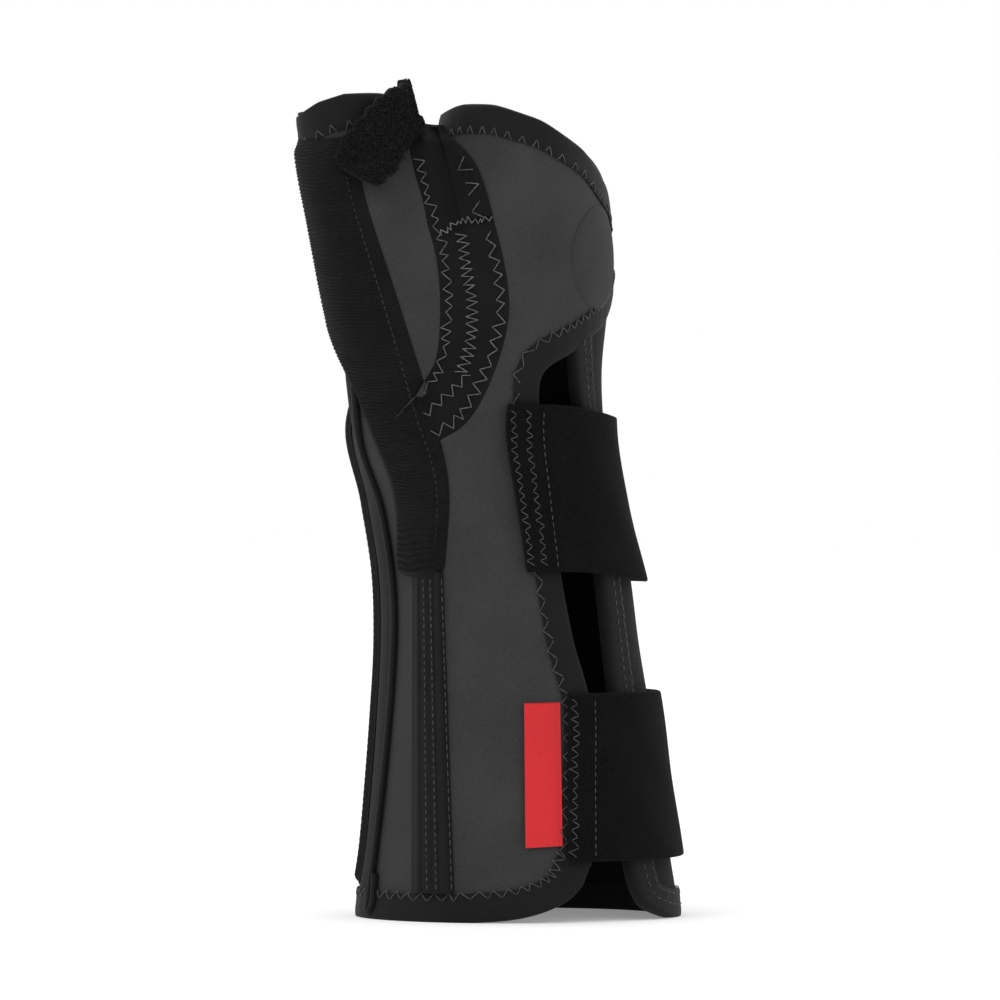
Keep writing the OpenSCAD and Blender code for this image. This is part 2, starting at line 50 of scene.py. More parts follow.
# The body that the cloth is fitted on.
# Millimetres. Stations are [z, centre x, half width, half depth] and [z, centre x, centre y, radius].
fitting = {
    "shift": (0.46, 1.7, -0.125),   # from the pattern's own zero to the frame's
    "arm": [[-14, 8.5, 48.5, 42], [2, 8.5, 48.5, 42], [20, 8.5, 46, 41], [40, 7.9, 43.6, 39.5],
            [60, 7.4, 41.6, 38], [84, 6, 39, 36], [103, 4.4, 38, 34.5], [125, 0.5, 37.5, 33],
            [150, -3.6, 38, 33.5], [165, -1.2, 35.2, 36.5], [178, 3.8, 31.4, 40], [190, 7, 29.6, 43],
            [205, 8, 28.4, 44.5], [220, 8.8, 26, 44.5], [233, 8.5, 24, 43.5], [262, 8, 21, 41]],
    "thumb": [[112, -16, -8, 11], [128, -20.5, -12, 14], [146, -25.5, -17.5, 15.6],
              [165, -27.3, -22, 16.4], [185, -31, -25, 17], [208, -35.4, -26, 17],
              [225, -40, -27, 15.6], [240, -43.3, -28, 14], [262, -48, -29, 13.4]],
    "web": [[150, -2, -19, 13, 3], [175, 0, -24, 14, 3], [195, 1, -26, 13.6, 3],
            [212, -1, -24, 12, 4], [226, -5, -18, 9, 6], [235, -8, -14, 6, 8]],
    "softness": 5.0,                # how round the cloth goes over the hollow between thumb and hand
}
cloth = {"thickness": 3.0, "lift": 0.05}


def ease(t):
    t = np.clip(t, 0, 1)
    return t * t * (3 - 2 * t)


def smoothAt(table, k, z):
    rows = np.array(table, float)
    zs, vs = rows[:, 0], rows[:, k]
    slopes = np.gradient(vs, zs)
    z = np.clip(z, zs[0], zs[-1])
    i = np.clip(np.searchsorted(zs, z) - 1, 0, len(zs) - 2)
    h = zs[i + 1] - zs[i]
    t = (z - zs[i]) / h
    a = 2 * t**3 - 3 * t**2 + 1
    b = t**3 - 2 * t**2 + t
    c = -2 * t**3 + 3 * t**2
    d = t**3 - t**2
    return a * vs[i] + b * h * slopes[i] + c * vs[i + 1] + d * h * slopes[i + 1]


def softMin(a, b, k):
    h = np.clip(0.5 + 0.5 * (b - a) / k, 0, 1)
    return b + (a - b) * h - k * h * (1 - h)


def skinField(p):
    x, y, z = p[:, 0], p[:, 1], p[:, 2]
    cx, a, b = (smoothAt(fitting["arm"], k, z) for k in (1, 2, 3))
    rho = np.sqrt(((x - cx) / a)**2 + (y / b)**2) + 1e-9
    arm = np.hypot(x - cx, y) * (1 - 1 / rho)
    tx, ty, tr = (smoothAt(fitting["thumb"], k, z) for k in (1, 2, 3))
    thumb = np.hypot(x - tx, y - ty) - tr + np.maximum(0, 114 - z)
    wx, wy, wr, inset = (smoothAt(fitting["web"], k, z) for k in (1, 2, 3, 4))
    dx, dy = tx - wx, ty - wy
    t = np.clip(((x - wx) * dx + (y - wy) * dy) / (dx * dx + dy * dy), 0, 1)
    bridge = np.hypot(x - wx - dx * t, y - wy - dy * t) - (wr + (tr - inset - wr) * t)
    bridge = bridge + np.maximum(0, z - 233) * 1.2 + np.maximum(0, 152 - z)
    k = fitting["softness"]
    return softMin(softMin(arm, thumb, k), bridge, k * 0.8)


def march(start, way, off, outward=False, limit=None):
    t = np.zeros(len(start))
    best = np.full(len(start), 1e9)
    bestT = t.copy()
    turn = -1.0 if outward else 1.0
    for step in range(44):
        f = skinField(start + way * t[:, None]) - off
        closer = np.abs(f) < best
        best = np.where(closer, np.abs(f), best)
        bestT = np.where(closer, t, bestT)
        t = t + np.clip(f * turn, -3, 12) * 0.8
    short = np.ones(len(start), bool) if limit is None else bestT < limit
    bestT = bestT if limit is None else np.minimum(bestT, limit)
    p = start + way * bestT[:, None]
    for step in range(3):
        p = np.where(short[:, None], settle(p, off), p)
    return p


def settle(p, off):
    e = 0.2
    grad = np.stack([(skinField(p + np.array(d) * e) - skinField(p - np.array(d) * e)) / (2 * e)
                     for d in ((1, 0, 0), (0, 1, 0), (0, 0, 1))], axis=1)
    grad[:, 2] = 0
    size = np.maximum((grad**2).sum(1), 0.2)
    return p - grad * ((skinField(p) - off) / size)[:, None]


def flat(q):
    q = np.asarray(q, float)
    return q.reshape(-1, q.shape[-1])


# Pattern planes: rows of (across, up) in millimetres and a height give points on or over the cloth.
armScale = 0.63                     # millimetres for each degree round the arm
thumbScale = 0.29
pivot = [8.0, 36.0]                 # where the front view starts to wrap round the hand, and its radius


def onArm(q, off=0.0):
    q = flat(q)
    turn = np.radians(q[:, 0] / armScale)
    z = q[:, 1]
    cx, a, b = (smoothAt(fitting["arm"], k, z) for k in (1, 2, 3))
    way = np.stack([a * np.sin(turn), -b * np.cos(turn), z * 0], axis=1)
    way /= np.linalg.norm(way, axis=1)[:, None]
    deg = np.degrees(turn)
    reach = np.hypot(a * np.sin(turn), b * np.cos(turn)) - 12
    reach = reach + np.where((deg < -62) & (deg > -150), 13 - 11.2 * np.clip((z - 158) / 22, 0, 1), 30)
    return march(np.stack([cx, z * 0, z], axis=1) + way * 12, way, off, outward=True, limit=reach + off)


# The hand's own tube, without the web or the thumb.
def onArmRing(q, off=0.0):
    q = flat(q)
    turn = np.radians(q[:, 0] / armScale)
    cx, a, b = (smoothAt(fitting["arm"], k, q[:, 1]) for k in (1, 2, 3))
    return np.stack([cx + (a + off) * np.sin(turn), -(b + off) * np.cos(turn), q[:, 1]], axis=1)


def onThumbRing(q, off=0.0):
    q = flat(q)
    turn = np.radians(q[:, 0] / thumbScale)
    tx, ty, r = (smoothAt(fitting["thumb"], k, q[:, 1]) for k in (1, 2, 3))
    return np.stack([tx + (r + off) * np.sin(turn), ty - (r + off) * np.cos(turn), q[:, 1]], axis=1)


def onThumb(q, off=0.0):
    q = flat(q)
    turn = np.radians(q[:, 0] / thumbScale)
    z = q[:, 1]
    tx, ty = (smoothAt(fitting["thumb"], k, z) for k in (1, 2))
    way = np.stack([np.sin(turn), -np.cos(turn), z * 0], axis=1)
    limit = smoothAt(fitting["thumb"], 3, z) + 5 + off
    return march(np.stack([tx, ty, z], axis=1), way, off, outward=True, limit=limit)


def onFront(q, off=0.0):
    q = flat(q)
    start = np.stack([q[:, 0], q[:, 0] * 0 - 70, q[:, 1]], axis=1)
    return march(start, np.array([[0, 1.0, 0]]) * np.ones((len(q), 1)), off)


def onWrap(q, off=0.0):
    q = flat(q)
    x0, r = pivot
    turn = np.maximum(q[:, 0] - x0, 0) / r
    way = np.stack([np.sin(turn), -np.cos(turn), turn * 0], axis=1)
    middle = np.stack([np.minimum(q[:, 0], x0), turn * 0, q[:, 1]], axis=1)
    return march(middle + way * 70, -way, off)


slant = math.radians(-36)           # a view from the thumb's own side


def onSlant(q, off=0.0):
    q = flat(q)
    right = np.array([math.cos(slant), math.sin(slant), 0.0])
    way = np.array([[-math.sin(slant), math.cos(slant), 0.0]])
    start = q[:, :1] * right + np.stack([q[:, 0] * 0, q[:, 0] * 0, q[:, 1]], axis=1) - way * 95
    return march(start, way * np.ones((len(q), 1)), off)


def slantFrom3d(p):
    return np.stack([p[:, 0] * math.cos(slant) + p[:, 1] * math.sin(slant), p[:, 2]], axis=1)


def wrapFrom3d(p):
    x0, r = pivot
    turn = np.arctan2(p[:, 0] - x0, -p[:, 1])
    return np.stack([np.where(p[:, 0] <= x0, p[:, 0], x0 + r * turn), p[:, 2]], axis=1)


def wrapFromFront(points):
    return wrapFrom3d(onFront(points))


def wrapFromTurn(pairs):
    return wrapFrom3d(onArm(np.array([[t * armScale, z] for t, z in pairs])))


def armFrom3d(p):
    cx, a, b = (smoothAt(fitting["arm"], k, p[:, 2]) for k in (1, 2, 3))
    turn = np.degrees(np.arctan2((p[:, 0] - cx) / a, -p[:, 1] / b))
    return np.stack([turn * armScale, p[:, 2]], axis=1)


def armFromFront(points):
    return armFrom3d(onFront(points))


def armFromTurn(pairs):
    return np.array([[t * armScale, z] for t, z in pairs], float)


def thumbFromFront(points):
    p = onFront(points)
    turn = np.degrees(np.arctan2(p[:, 0] - smoothAt(fitting["thumb"], 1, p[:, 2]),
                                 -(p[:, 1] - smoothAt(fitting["thumb"], 2, p[:, 2]))))
    return np.stack([turn * thumbScale, p[:, 2]], axis=1)


def curve(points, step=1.5):
    p = np.asarray(points, float)
    ends = np.vstack([2 * p[0] - p[1], p, 2 * p[-1] - p[-2]])
    dense = []
    for i in range(len(p) - 1):
        a, b, c, d = ends[i:i + 4]
        for t in np.linspace(0, 1, 24, endpoint=False):
            dense.append(0.5 * (2 * b + (c - a) * t + (2 * a - 5 * b + 4 * c - d) * t * t
                                + (3 * b - a - 3 * c + d) * t**3))
    dense.append(p[-1])
    return evenly(np.array(dense), step)


def evenly(p, step=None, count=None):
    s = np.concatenate([[0], np.cumsum(np.linalg.norm(np.diff(p, axis=0), axis=1))])
    n = count or max(2, int(round(s[-1] / step)) + 1)
    at = np.linspace(0, s[-1], n)
    return np.stack([np.interp(at, s, p[:, k]) for k in range(p.shape[1])], axis=1)


def sideways(p, side):
    d = np.gradient(p, axis=0)
    d /= np.linalg.norm(d, axis=1)[:, None] + 1e-9
    return np.stack([-d[:, 1], d[:, 0]], axis=1) * side


def moved(p, side, distance):
    return p + sideways(p, side) * distance


# Mesh helpers.
def only(obj):
    bpy.ops.object.select_all(action="DESELECT")
    obj.select_set(True)
    bpy.context.view_layer.objects.active = obj


def applyModifier(obj, kind, **settings):
    only(obj)
    mod = obj.modifiers.new(kind.lower(), kind)
    for key, value in settings.items():
        setattr(mod, key, value)
    bpy.ops.object.modifier_apply(modifier=mod.name)


def smoothShade(obj, angle=50):
    only(obj)
    bpy.ops.object.shade_smooth_by_angle(angle=math.radians(angle))


# nu by nv points, already in millimetres of the pattern, laid on a plain grid.
def placeGrid(name, points, nu, nv, uv=None):
    bpy.ops.object.select_all(action="DESELECT")
    bpy.ops.mesh.primitive_grid_add(x_subdivisions=nu - 1, y_subdivisions=nv - 1, size=1)
    obj = bpy.context.object
    obj.name = name
    obj.data.name = name
    shift = np.array(fitting["shift"])
    co = (np.asarray(points).reshape(-1, 3) + shift) * mm
    obj.data.vertices.foreach_set("co", co.astype(np.float32).ravel())
    layer = obj.data.uv_layers.active or obj.data.uv_layers.new(name="cloth")
    loops = np.zeros(len(obj.data.loops), int)
    obj.data.loops.foreach_get("vertex_index", loops)
    if uv is None:
        grid = np.asarray(points).reshape(nv, nu, 3)
        su = np.concatenate([[0], np.cumsum(np.linalg.norm(np.diff(grid[nv // 2], axis=0), axis=1))])
        sv = np.concatenate([[0], np.cumsum(np.linalg.norm(np.diff(grid[:, nu // 2], axis=0), axis=1))])
        uv = np.stack(np.meshgrid(su, sv), axis=-1).reshape(-1, 2)
    layer.data.foreach_set("uv", (np.asarray(uv)[loops] / 10).astype(np.float32).ravel())
    obj.data.update()
    return obj


# Turns an open sheet over if its faces look into the body.
def faceOut(obj, pts):
    e = 0.3
    normals = np.zeros(len(obj.data.vertices) * 3)
    obj.data.vertices.foreach_get("normal", normals)
    n = normals.reshape(-1, 3)
    pts = np.asarray(pts).reshape(-1, 3)
    if (skinField(pts + n * e) - skinField(pts - n * e)).sum() < 0:
        obj.data.flip_normals()


# Rows of pattern points that fill the room between four pattern curves.
def patchRows(left, right, bottom=None, top=None, step=1.5, nu=None):
    nv = max(4, int(round(max(length(left), length(right)) / step)) + 1)
    left, right = evenly(left, count=nv), evenly(right, count=nv)
    nu = nu or max(4, int(round(np.linalg.norm(right - left, axis=1).max() / step)) + 1)
    u = np.linspace(0, 1, nu)[None, :, None]
    v = np.linspace(0, 1, nv)[:, None, None]
    q = left[:, None, :] * (1 - u) + right[:, None, :] * u
    for edge, row, share in ((bottom, 0, 1 - v), (top, nv - 1, v)):
        if edge is not None:
            q = q + (evenly(edge, count=nu) - q[row])[None, :, :] * share
    return q


def layCloth(name, rows, mapper, off=0.0, wave=None):
    nv, nu = rows.shape[:2]
    rise = np.full((nv, nu), float(off))
    if wave is not None:
        rise = rise + wave(np.linspace(0, 1, nu)[None, :], np.linspace(0, 1, nv)[:, None], rows)
    pts = mapper(rows, rise.ravel())
    obj = placeGrid(name, pts, nu, nv, rows.reshape(-1, 2))
    faceOut(obj, pts)
    return obj


def thicken(obj, thick):
    applyModifier(obj, "SOLIDIFY", thickness=thick * mm, offset=-1)
    smoothShade(obj)
    return obj


# A piece of cloth laid on the body over rows of pattern points, with its thickness going inwards.
def sewnSheet(name, rows, mapper, off=0.0, thick=None, wave=None):
    return thicken(layCloth(name, rows, mapper, off, wave), thick or cloth["thickness"])


def weld(objs, name, gap=0.05):
    obj = joinAll(objs, name)
    only(obj)
    bpy.ops.object.mode_set(mode="EDIT")
    bpy.ops.mesh.select_all(action="SELECT")
    bpy.ops.mesh.remove_doubles(threshold=gap * mm)
    bpy.ops.object.mode_set(mode="OBJECT")
    return obj


def length(p):
    return np.linalg.norm(np.diff(p, axis=0), axis=1).sum()


def closeSides(obj, ends=True):
    only(obj)
    bpy.ops.object.mode_set(mode="EDIT")
    bpy.ops.mesh.select_all(action="SELECT")
    bpy.ops.mesh.remove_doubles(threshold=0.00002)
    if ends:
        bpy.ops.mesh.select_all(action="DESELECT")
        bpy.ops.mesh.select_non_manifold(extend=False, use_multi_face=False, use_non_contiguous=False,
                                         use_verts=False)
        bpy.ops.mesh.fill_holes(sides=0)
        bpy.ops.mesh.select_all(action="SELECT")
    bpy.ops.mesh.normals_make_consistent(inside=False)
    bpy.ops.object.mode_set(mode="OBJECT")
    smoothShade(obj, 60)


# Sweeps a closed profile of (across, above) along a pattern curve; across is measured to one side.
def band(name, line, side, profile, mapper, closed=False, ripple=None):
    n = len(line)
    inward = sideways(line, side)
    if closed:
        inward[0] = inward[-1] = (inward[0] + inward[-1]) / 2
    loop = np.array(list(profile) + [profile[0]], float)
    lift = np.broadcast_to(loop[None, :, 1], (n, len(loop))).copy()
    if ripple is not None:
        lift += ripple(np.arange(n)[:, None], loop[None, :, 0]) * (loop[None, :, 1] > 0)
    q = line[:, None, :] + inward[:, None, :] * loop[None, :, :1]
    obj = placeGrid(name, mapper(q, lift.ravel()), len(loop), n)
    closeSides(obj, ends=not closed)
    return obj


def joinAll(objs, name):
    bpy.ops.object.select_all(action="DESELECT")
    for o in objs:
        o.select_set(True)
    bpy.context.view_layer.objects.active = objs[0]
    if len(objs) > 1:
        bpy.ops.object.join()
    objs[0].name = name
    objs[0].data.name = name
    return objs[0]


# Sewing thread along lists of points in pattern millimetres.
def threads(name, runs, radius=0.19, sides=1):
    data = bpy.data.curves.new(name, "CURVE")
    data.dimensions = "3D"
    data.bevel_depth = radius * mm
    data.bevel_resolution = sides
    data.use_fill_caps = True
    shift = np.array(fitting["shift"])
    for run in runs:
        spline = data.splines.new("POLY")
        spline.points.add(len(run) - 1)
        co = np.hstack([(np.asarray(run) + shift) * mm, np.ones((len(run), 1))])
        spline.points.foreach_set("co", co.ravel())
    obj = bpy.data.objects.new(name, data)
    bpy.context.collection.objects.link(obj)
    only(obj)
    bpy.ops.object.convert(target="MESH")
    obj = bpy.context.object
    smoothShade(obj, 70)
    return obj


# Zigzag stitches along a pattern curve: each leg is one stitch that dips at its needle holes.
def zigzag(line, side, near, far, mapper, above=0.9, pitch=4.2, jitter=0.0, seed=1):
    rng = np.random.default_rng(seed)
    total = length(line)
    n = max(2, int(round(total / (pitch / 2))))
    p = evenly(line, count=n + 1)
    inward = sideways(p, side)
    across = np.where(np.arange(n + 1) % 2 == 0, near, far)[:, None]
    holes = p + inward * across + rng.normal(0, jitter, p.shape)
    runs = []
    t = np.array([0.0, 0.16, 0.5, 0.84, 1.0])
    dip = np.array([-0.55, -0.05, 0.08, -0.05, -0.55])
    q = holes[:-1, None, :] * (1 - t[None, :, None]) + holes[1:, None, :] * t[None, :, None]
    pts = mapper(q, (above + np.broadcast_to(dip, (n, 5))).ravel()).reshape(n, 5, 3)
    return [r for r in pts]


# Straight lockstitch: short dashes along a pattern curve.
def running(line, side, across, mapper, above=0.75, pitch=2.6, fillPart=0.62):
    p = line + sideways(line, side) * across
    n = max(2, int(round(length(p) / pitch)))
    starts = evenly(p, count=n + 1)
    a, b = starts[:-1], starts[:-1] + (starts[1:] - starts[:-1]) * fillPart
    t = np.array([0.0, 0.2, 0.5, 0.8, 1.0])
    dip = np.array([-0.4, -0.02, 0.05, -0.02, -0.4])
    q = a[:, None, :] * (1 - t[None, :, None]) + b[:, None, :] * t[None, :, None]
    pts = mapper(q, (above + np.broadcast_to(dip, (n, 5))).ravel()).reshape(n, 5, 3)
    return [r for r in pts]


# Cloths.
def clothMaterial(name, s):
    mat = bpy.data.materials.new(name)
    mat.use_nodes = True
    nt = mat.node_tree
    nt.nodes.clear()
    out = nt.nodes.new("ShaderNodeOutputMaterial")
    bsdf = nt.nodes.new("ShaderNodeBsdfPrincipled")
    nt.links.new(bsdf.outputs[0], out.inputs[0])
    bsdf.inputs["Roughness"].default_value = s.get("rough", 0.9)
    bsdf.inputs["Specular IOR Level"].default_value = s.get("specular", 0.25)
    bsdf.inputs["Sheen Weight"].default_value = s.get("sheen", 0.15)
    bsdf.inputs["Sheen Roughness"].default_value = s.get("sheenRough", 0.5)
    bsdf.inputs["Sheen Tint"].default_value = (1, 1, 1, 1)
    coords = nt.nodes.new("ShaderNodeTexCoord")
    patch = nt.nodes.new("ShaderNodeTexNoise")          # slow change of tone across the cloth
    patch.inputs["Scale"].default_value = s.get("patchScale", 60)
    patch.inputs["Detail"].default_value = 4
    nt.links.new(coords.outputs["Object"], patch.inputs["Vector"])
    grain = nt.nodes.new("ShaderNodeTexNoise")          # single yarns
    grain.inputs["Scale"].default_value = s.get("grainScale", 2600)
    grain.inputs["Detail"].default_value = 3
    grain.inputs["Roughness"].default_value = 0.65
    nt.links.new(coords.outputs["Object"], grain.inputs["Vector"])
    both = nt.nodes.new("ShaderNodeMix")
    both.inputs["Factor"].default_value = s.get("grainMix", 0.6)
    nt.links.new(patch.outputs["Fac"], both.inputs["A"])
    nt.links.new(grain.outputs["Fac"], both.inputs["B"])
    ramp = nt.nodes.new("ShaderNodeValToRGB")
    dark, light = s["dark"], s["light"]
    ramp.color_ramp.elements[0].position = s.get("low", 0.35)
    ramp.color_ramp.elements[0].color = (*dark, 1)
    ramp.color_ramp.elements[1].position = s.get("high", 0.65)
    ramp.color_ramp.elements[1].color = (*light, 1)
    nt.links.new(both.outputs["Result"], ramp.inputs["Fac"])
    nt.links.new(ramp.outputs["Color"], bsdf.inputs["Base Color"])
    height = grain.outputs["Fac"]
    if "knit" in s:                                     # small cells of the knit
        wave = nt.nodes.new("ShaderNodeTexVoronoi")
        wave.inputs["Scale"].default_value = s["knit"]
        nt.links.new(coords.outputs["Object"], wave.inputs["Vector"])
        mixed = nt.nodes.new("ShaderNodeMath")
        mixed.operation = "ADD"
        nt.links.new(wave.outputs["Distance"], mixed.inputs[0])
        nt.links.new(grain.outputs["Fac"], mixed.inputs[1])
        height = mixed.outputs[0]
    bump = nt.nodes.new("ShaderNodeBump")
    bump.inputs["Strength"].default_value = s.get("bump", 0.5)
    bump.inputs["Distance"].default_value = s.get("bumpDepth", 0.00025)
    nt.links.new(height, bump.inputs["Height"])
    nt.links.new(bump.outputs["Normal"], bsdf.inputs["Normal"])
    return mat


cloths = {
    "greyKnit": {"dark": (0.024, 0.024, 0.0245), "light": (0.042, 0.042, 0.043), "rough": 0.9,
                 "specular": 0.12, "sheen": 0.03, "grainScale": 2300, "knit": 1500, "bump": 0.35,
                 "bumpDepth": 0.0002, "patchScale": 45},
    "darkStretch": {"dark": (0.003, 0.003, 0.003), "light": (0.0075, 0.0075, 0.0078), "rough": 0.85,
                    "specular": 0.12, "sheen": 0.02, "grainScale": 2600, "knit": 1800, "bump": 0.4,
                    "bumpDepth": 0.0002},
    "edgeTape": {"dark": (0.003, 0.003, 0.003), "light": (0.0070, 0.0070, 0.0073), "rough": 0.75,
                 "specular": 0.15, "sheen": 0.03, "grainScale": 2400, "knit": 2200, "bump": 0.35,
                 "bumpDepth": 0.00018},
    "velour": {"dark": (0.0022, 0.0022, 0.0024), "light": (0.0065, 0.0065, 0.0068), "rough": 0.95,
               "specular": 0.06, "sheen": 0.02, "sheenRough": 0.35, "grainScale": 1500, "bump": 0.9,
               "bumpDepth": 0.0004, "grainMix": 0.75},
    "ribVelour": {"dark": (0.002, 0.002, 0.002), "light": (0.011, 0.011, 0.011), "rough": 0.95,
                  "specular": 0.08, "sheen": 0.04, "grainScale": 2100, "bump": 0.8,
                  "bumpDepth": 0.0003, "grainMix": 0.75},
    "pile": {"dark": (0.002, 0.002, 0.002), "light": (0.012, 0.012, 0.012), "rough": 1.0,
             "specular": 0.08, "sheen": 0.05, "grainScale": 1100, "bump": 1.0,
             "bumpDepth": 0.0006, "grainMix": 0.8},
    "hookTape": {"dark": (0.006, 0.006, 0.006), "light": (0.012, 0.012, 0.012), "rough": 0.5,
                 "specular": 0.5, "sheen": 0.0, "grainScale": 900, "knit": 900, "bump": 0.8},
    "thread": {"dark": (0.008, 0.008, 0.008), "light": (0.060, 0.060, 0.060), "rough": 0.6, "specular": 0.4,
               "sheen": 0.1, "grainScale": 900, "bump": 0.3, "patchScale": 500},
    "paleThread": {"dark": (0.015, 0.015, 0.015), "light": (0.13, 0.13, 0.13), "rough": 0.6, "specular": 0.4,
                   "sheen": 0.1, "grainScale": 900, "bump": 0.3, "patchScale": 500},
    "blackThread": {"dark": (0.012, 0.012, 0.012), "light": (0.035, 0.035, 0.035), "rough": 0.6,
                    "sheen": 0.1, "grainScale": 4000, "bump": 0.3},
    "redLabel": {"dark": (0.46, 0.001, 0.004), "light": (0.60, 0.003, 0.009), "rough": 0.55, "specular": 0.4,
                 "sheen": 0.1, "grainScale": 1800, "knit": 2400, "bump": 0.25, "patchScale": 30},
}
mats = {name: clothMaterial(name, s) for name, s in cloths.items()}


def metalMaterial():
    mat = bpy.data.materials.new("stayMetal")
    mat.use_nodes = True
    nt = mat.node_tree
    bsdf = nt.nodes["Principled BSDF"]
    bsdf.inputs["Metallic"].default_value = 1.0
    coords = nt.nodes.new("ShaderNodeTexCoord")
    turn = nt.nodes.new("ShaderNodeMapping")
    turn.inputs["Scale"].default_value = (2500, 2500, 40)
    noise = nt.nodes.new("ShaderNodeTexNoise")
    ramp = nt.nodes.new("ShaderNodeValToRGB")
    ramp.color_ramp.elements[0].color = (0.55, 0.56, 0.58, 1)
    ramp.color_ramp.elements[1].color = (0.74, 0.75, 0.77, 1)
    rough = nt.nodes.new("ShaderNodeMapRange")
    rough.inputs["To Min"].default_value = 0.25
    rough.inputs["To Max"].default_value = 0.45
    nt.links.new(coords.outputs["Object"], turn.inputs["Vector"])
    nt.links.new(turn.outputs[0], noise.inputs["Vector"])
    nt.links.new(noise.outputs["Fac"], ramp.inputs["Fac"])
    nt.links.new(ramp.outputs["Color"], bsdf.inputs["Base Color"])
    nt.links.new(noise.outputs["Fac"], rough.inputs["Value"])
    nt.links.new(rough.outputs[0], bsdf.inputs["Roughness"])
    return mat


mats["stayMetal"] = metalMaterial()


def finish(obj, material, body="sleeve", nodes=()):
    obj.data.materials.clear()
    obj.data.materials.append(mats[material])
    if body:
        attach(obj, body)
    if nodes:
        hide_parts(*nodes)
    return obj


# The pattern.
hemFront = curve([[-8, 0.4], [8, 1.8], [19, 5], [26, 10], [29.5, 18]])
slotRadial = curve([[29.5, 18], [30, 45], [29, 66], [24.2, 84], [20.3, 105], [16.5, 130], [14.5, 150],
                    [14.3, 160], [17, 165.5], [25, 170.5], [31, 175.5]])
slotUlnar = curve([[25.5, 172], [27.5, 152], [31.5, 125], [33.8, 105], [37.8, 68], [41, 38],
                   [42.5, 17], [46, 6], [50, 2.5]])
handTopFront = curve([[-16.5, 240], [-15.5, 241], [-9, 243], [1, 242.2], [16, 237.4], [28, 229.6]])
pipingLine = curve([[-37.8, 2], [-34.6, 27], [-30.8, 65], [-29.8, 95], [-33.4, 122], [-39.6, 142],
                    [-41.6, 163]])
webHandSide = curve([[-22, 139], [-15.3, 143.5], [-6.6, 149.2], [0, 160.7], [4.8, 176], [5.1, 189.5],
                     [0.9, 208.7], [-4.8, 225.8], [-15.6, 238]])
webThumbSide = curve([[-28, 151], [-21, 158.9], [-15.9, 168.5], [-14.7, 183.8], [-15.9, 199.1],
                      [-20, 214], [-23.5, 230], [-25.5, 242]])
webFold = curve([[-16, 238], [-12, 224], [-8.7, 208.7]])
cuffTopX = np.array([-70, -57, -51, -43, -31, -22], float)
cuffTopZ = np.array([238, 239.5, 243, 245.3, 246, 246], float)
pocketPalm = curve([[-62, 236], [-61.2, 233], [-56, 208], [-50, 186], [-44, 167], [-35.4, 145.3],
                    [-28.8, 126.4], [-27.9, 103.3]])
pocketHand = curve([[-41.6, 236], [-41.4, 233], [-39.2, 216.2], [-29.2, 183.8], [-20.1, 153.2],
                    [-14.1, 130], [-15.3, 103.3]])
hiddenSeam = curve([[-18.5, 7], [-18.3, 60], [-18.5, 103], [-21, 126], [-22, 139]])


def cut(p, low=None, high=None, axis=1):
    keep = np.ones(len(p), bool)
    if low is not None:
        keep &= p[:, axis] >= low
    if high is not None:
        keep &= p[:, axis] <= high
    return p[keep]


def joined(*parts):
    out = [np.asarray(parts[0], float)]
    for part in parts[1:]:
        part = np.asarray(part, float)
        out.append(part[1:] if np.linalg.norm(part[0] - out[-1][-1]) < 0.01 else part)
    return np.vstack(out)


def line(*points):
    return evenly(np.array(points, float), count=24)


# A few slow waves, so that a panel is never quite flat.
def softNoise(seed, scale, height):
    r = np.random.default_rng(seed)
    k = r.normal(0, 1, (6, 2)) / scale
    ph = r.uniform(0, 6.3, 6)
    return lambda q: height * sum(np.sin(q[..., 0] * k[i, 0] + q[..., 1] * k[i, 1] + ph[i])
                                  for i in range(6)) / 6


# Radial side of the main panel, then its palm strip on the other side of the stay tape.
mainPanel = {"wave": 0.28, "waveScale": 16, "columns": 60, "splitHeight": 160}
slow = softNoise(3, mainPanel["waveScale"], mainPanel["wave"])
slotUp = wrapFromFront(slotRadial)
aroundHand = wrapFromTurn([(70, 178), (90, 186.6), (120, 190), (150, 192)])
aroundHand = joined(aroundHand[:1], evenly(aroundHand, step=2.0)[1:])
topEdge = joined(wrapFromFront(handTopFront), wrapFromTurn([(80, 222), (95, 214), (120, 213), (150, 211)]))


# The part of a rising curve below z and the part above it, both with the point at z.
def cutAt(p, z):
    i = int(np.argmax(p[:, 1] > z))
    t = (z - p[i - 1, 1]) / (p[i, 1] - p[i - 1, 1])
    q = p[i - 1] + (p[i] - p[i - 1]) * t
    return np.vstack([p[:i], q]), np.vstack([q, p[i:]])


slotSide = joined(wrapFromFront(line((29.4, 15), (29.5, 18))), slotUp)
webSide = joined(cut(hiddenSeam, high=139), cut(webHandSide, low=139.2))
lowerRight, upperRight = cutAt(slotSide, mainPanel["splitHeight"])
lowerLeft, upperLeft = cutAt(webSide, mainPanel["splitHeight"])
across = line(lowerLeft[-1], lowerRight[-1])
lowEdge = evenly(joined(line((-18.5, 4), (-8, 4.4)), wrapFromFront(moved(hemFront, 1, 3.5))), count=40)
slowOver = lambda u, v, q: slow(q)
forearmRows = patchRows(lowerLeft, lowerRight, bottom=lowEdge, top=across, nu=mainPanel["columns"])
farRight = joined(upperRight, aroundHand, wrapFromTurn([(150, 198), (150, 204), (150, 211)]))
underWeb = upperLeft.copy()
underWeb[:, 0] -= 5.0 * ease((underWeb[:, 1] - 176) / 24) * (1 - ease((underWeb[:, 1] - 228) / 10))
handRows = patchRows(underWeb, farRight, bottom=across, top=topEdge, nu=mainPanel["columns"])
skin = weld([layCloth("mainForearm", forearmRows, onWrap, cloth["lift"], slowOver),
             layCloth("mainHand", handRows, onWrap, cloth["lift"], slowOver)], "main")
panels = [thicken(skin, cloth["thickness"])]
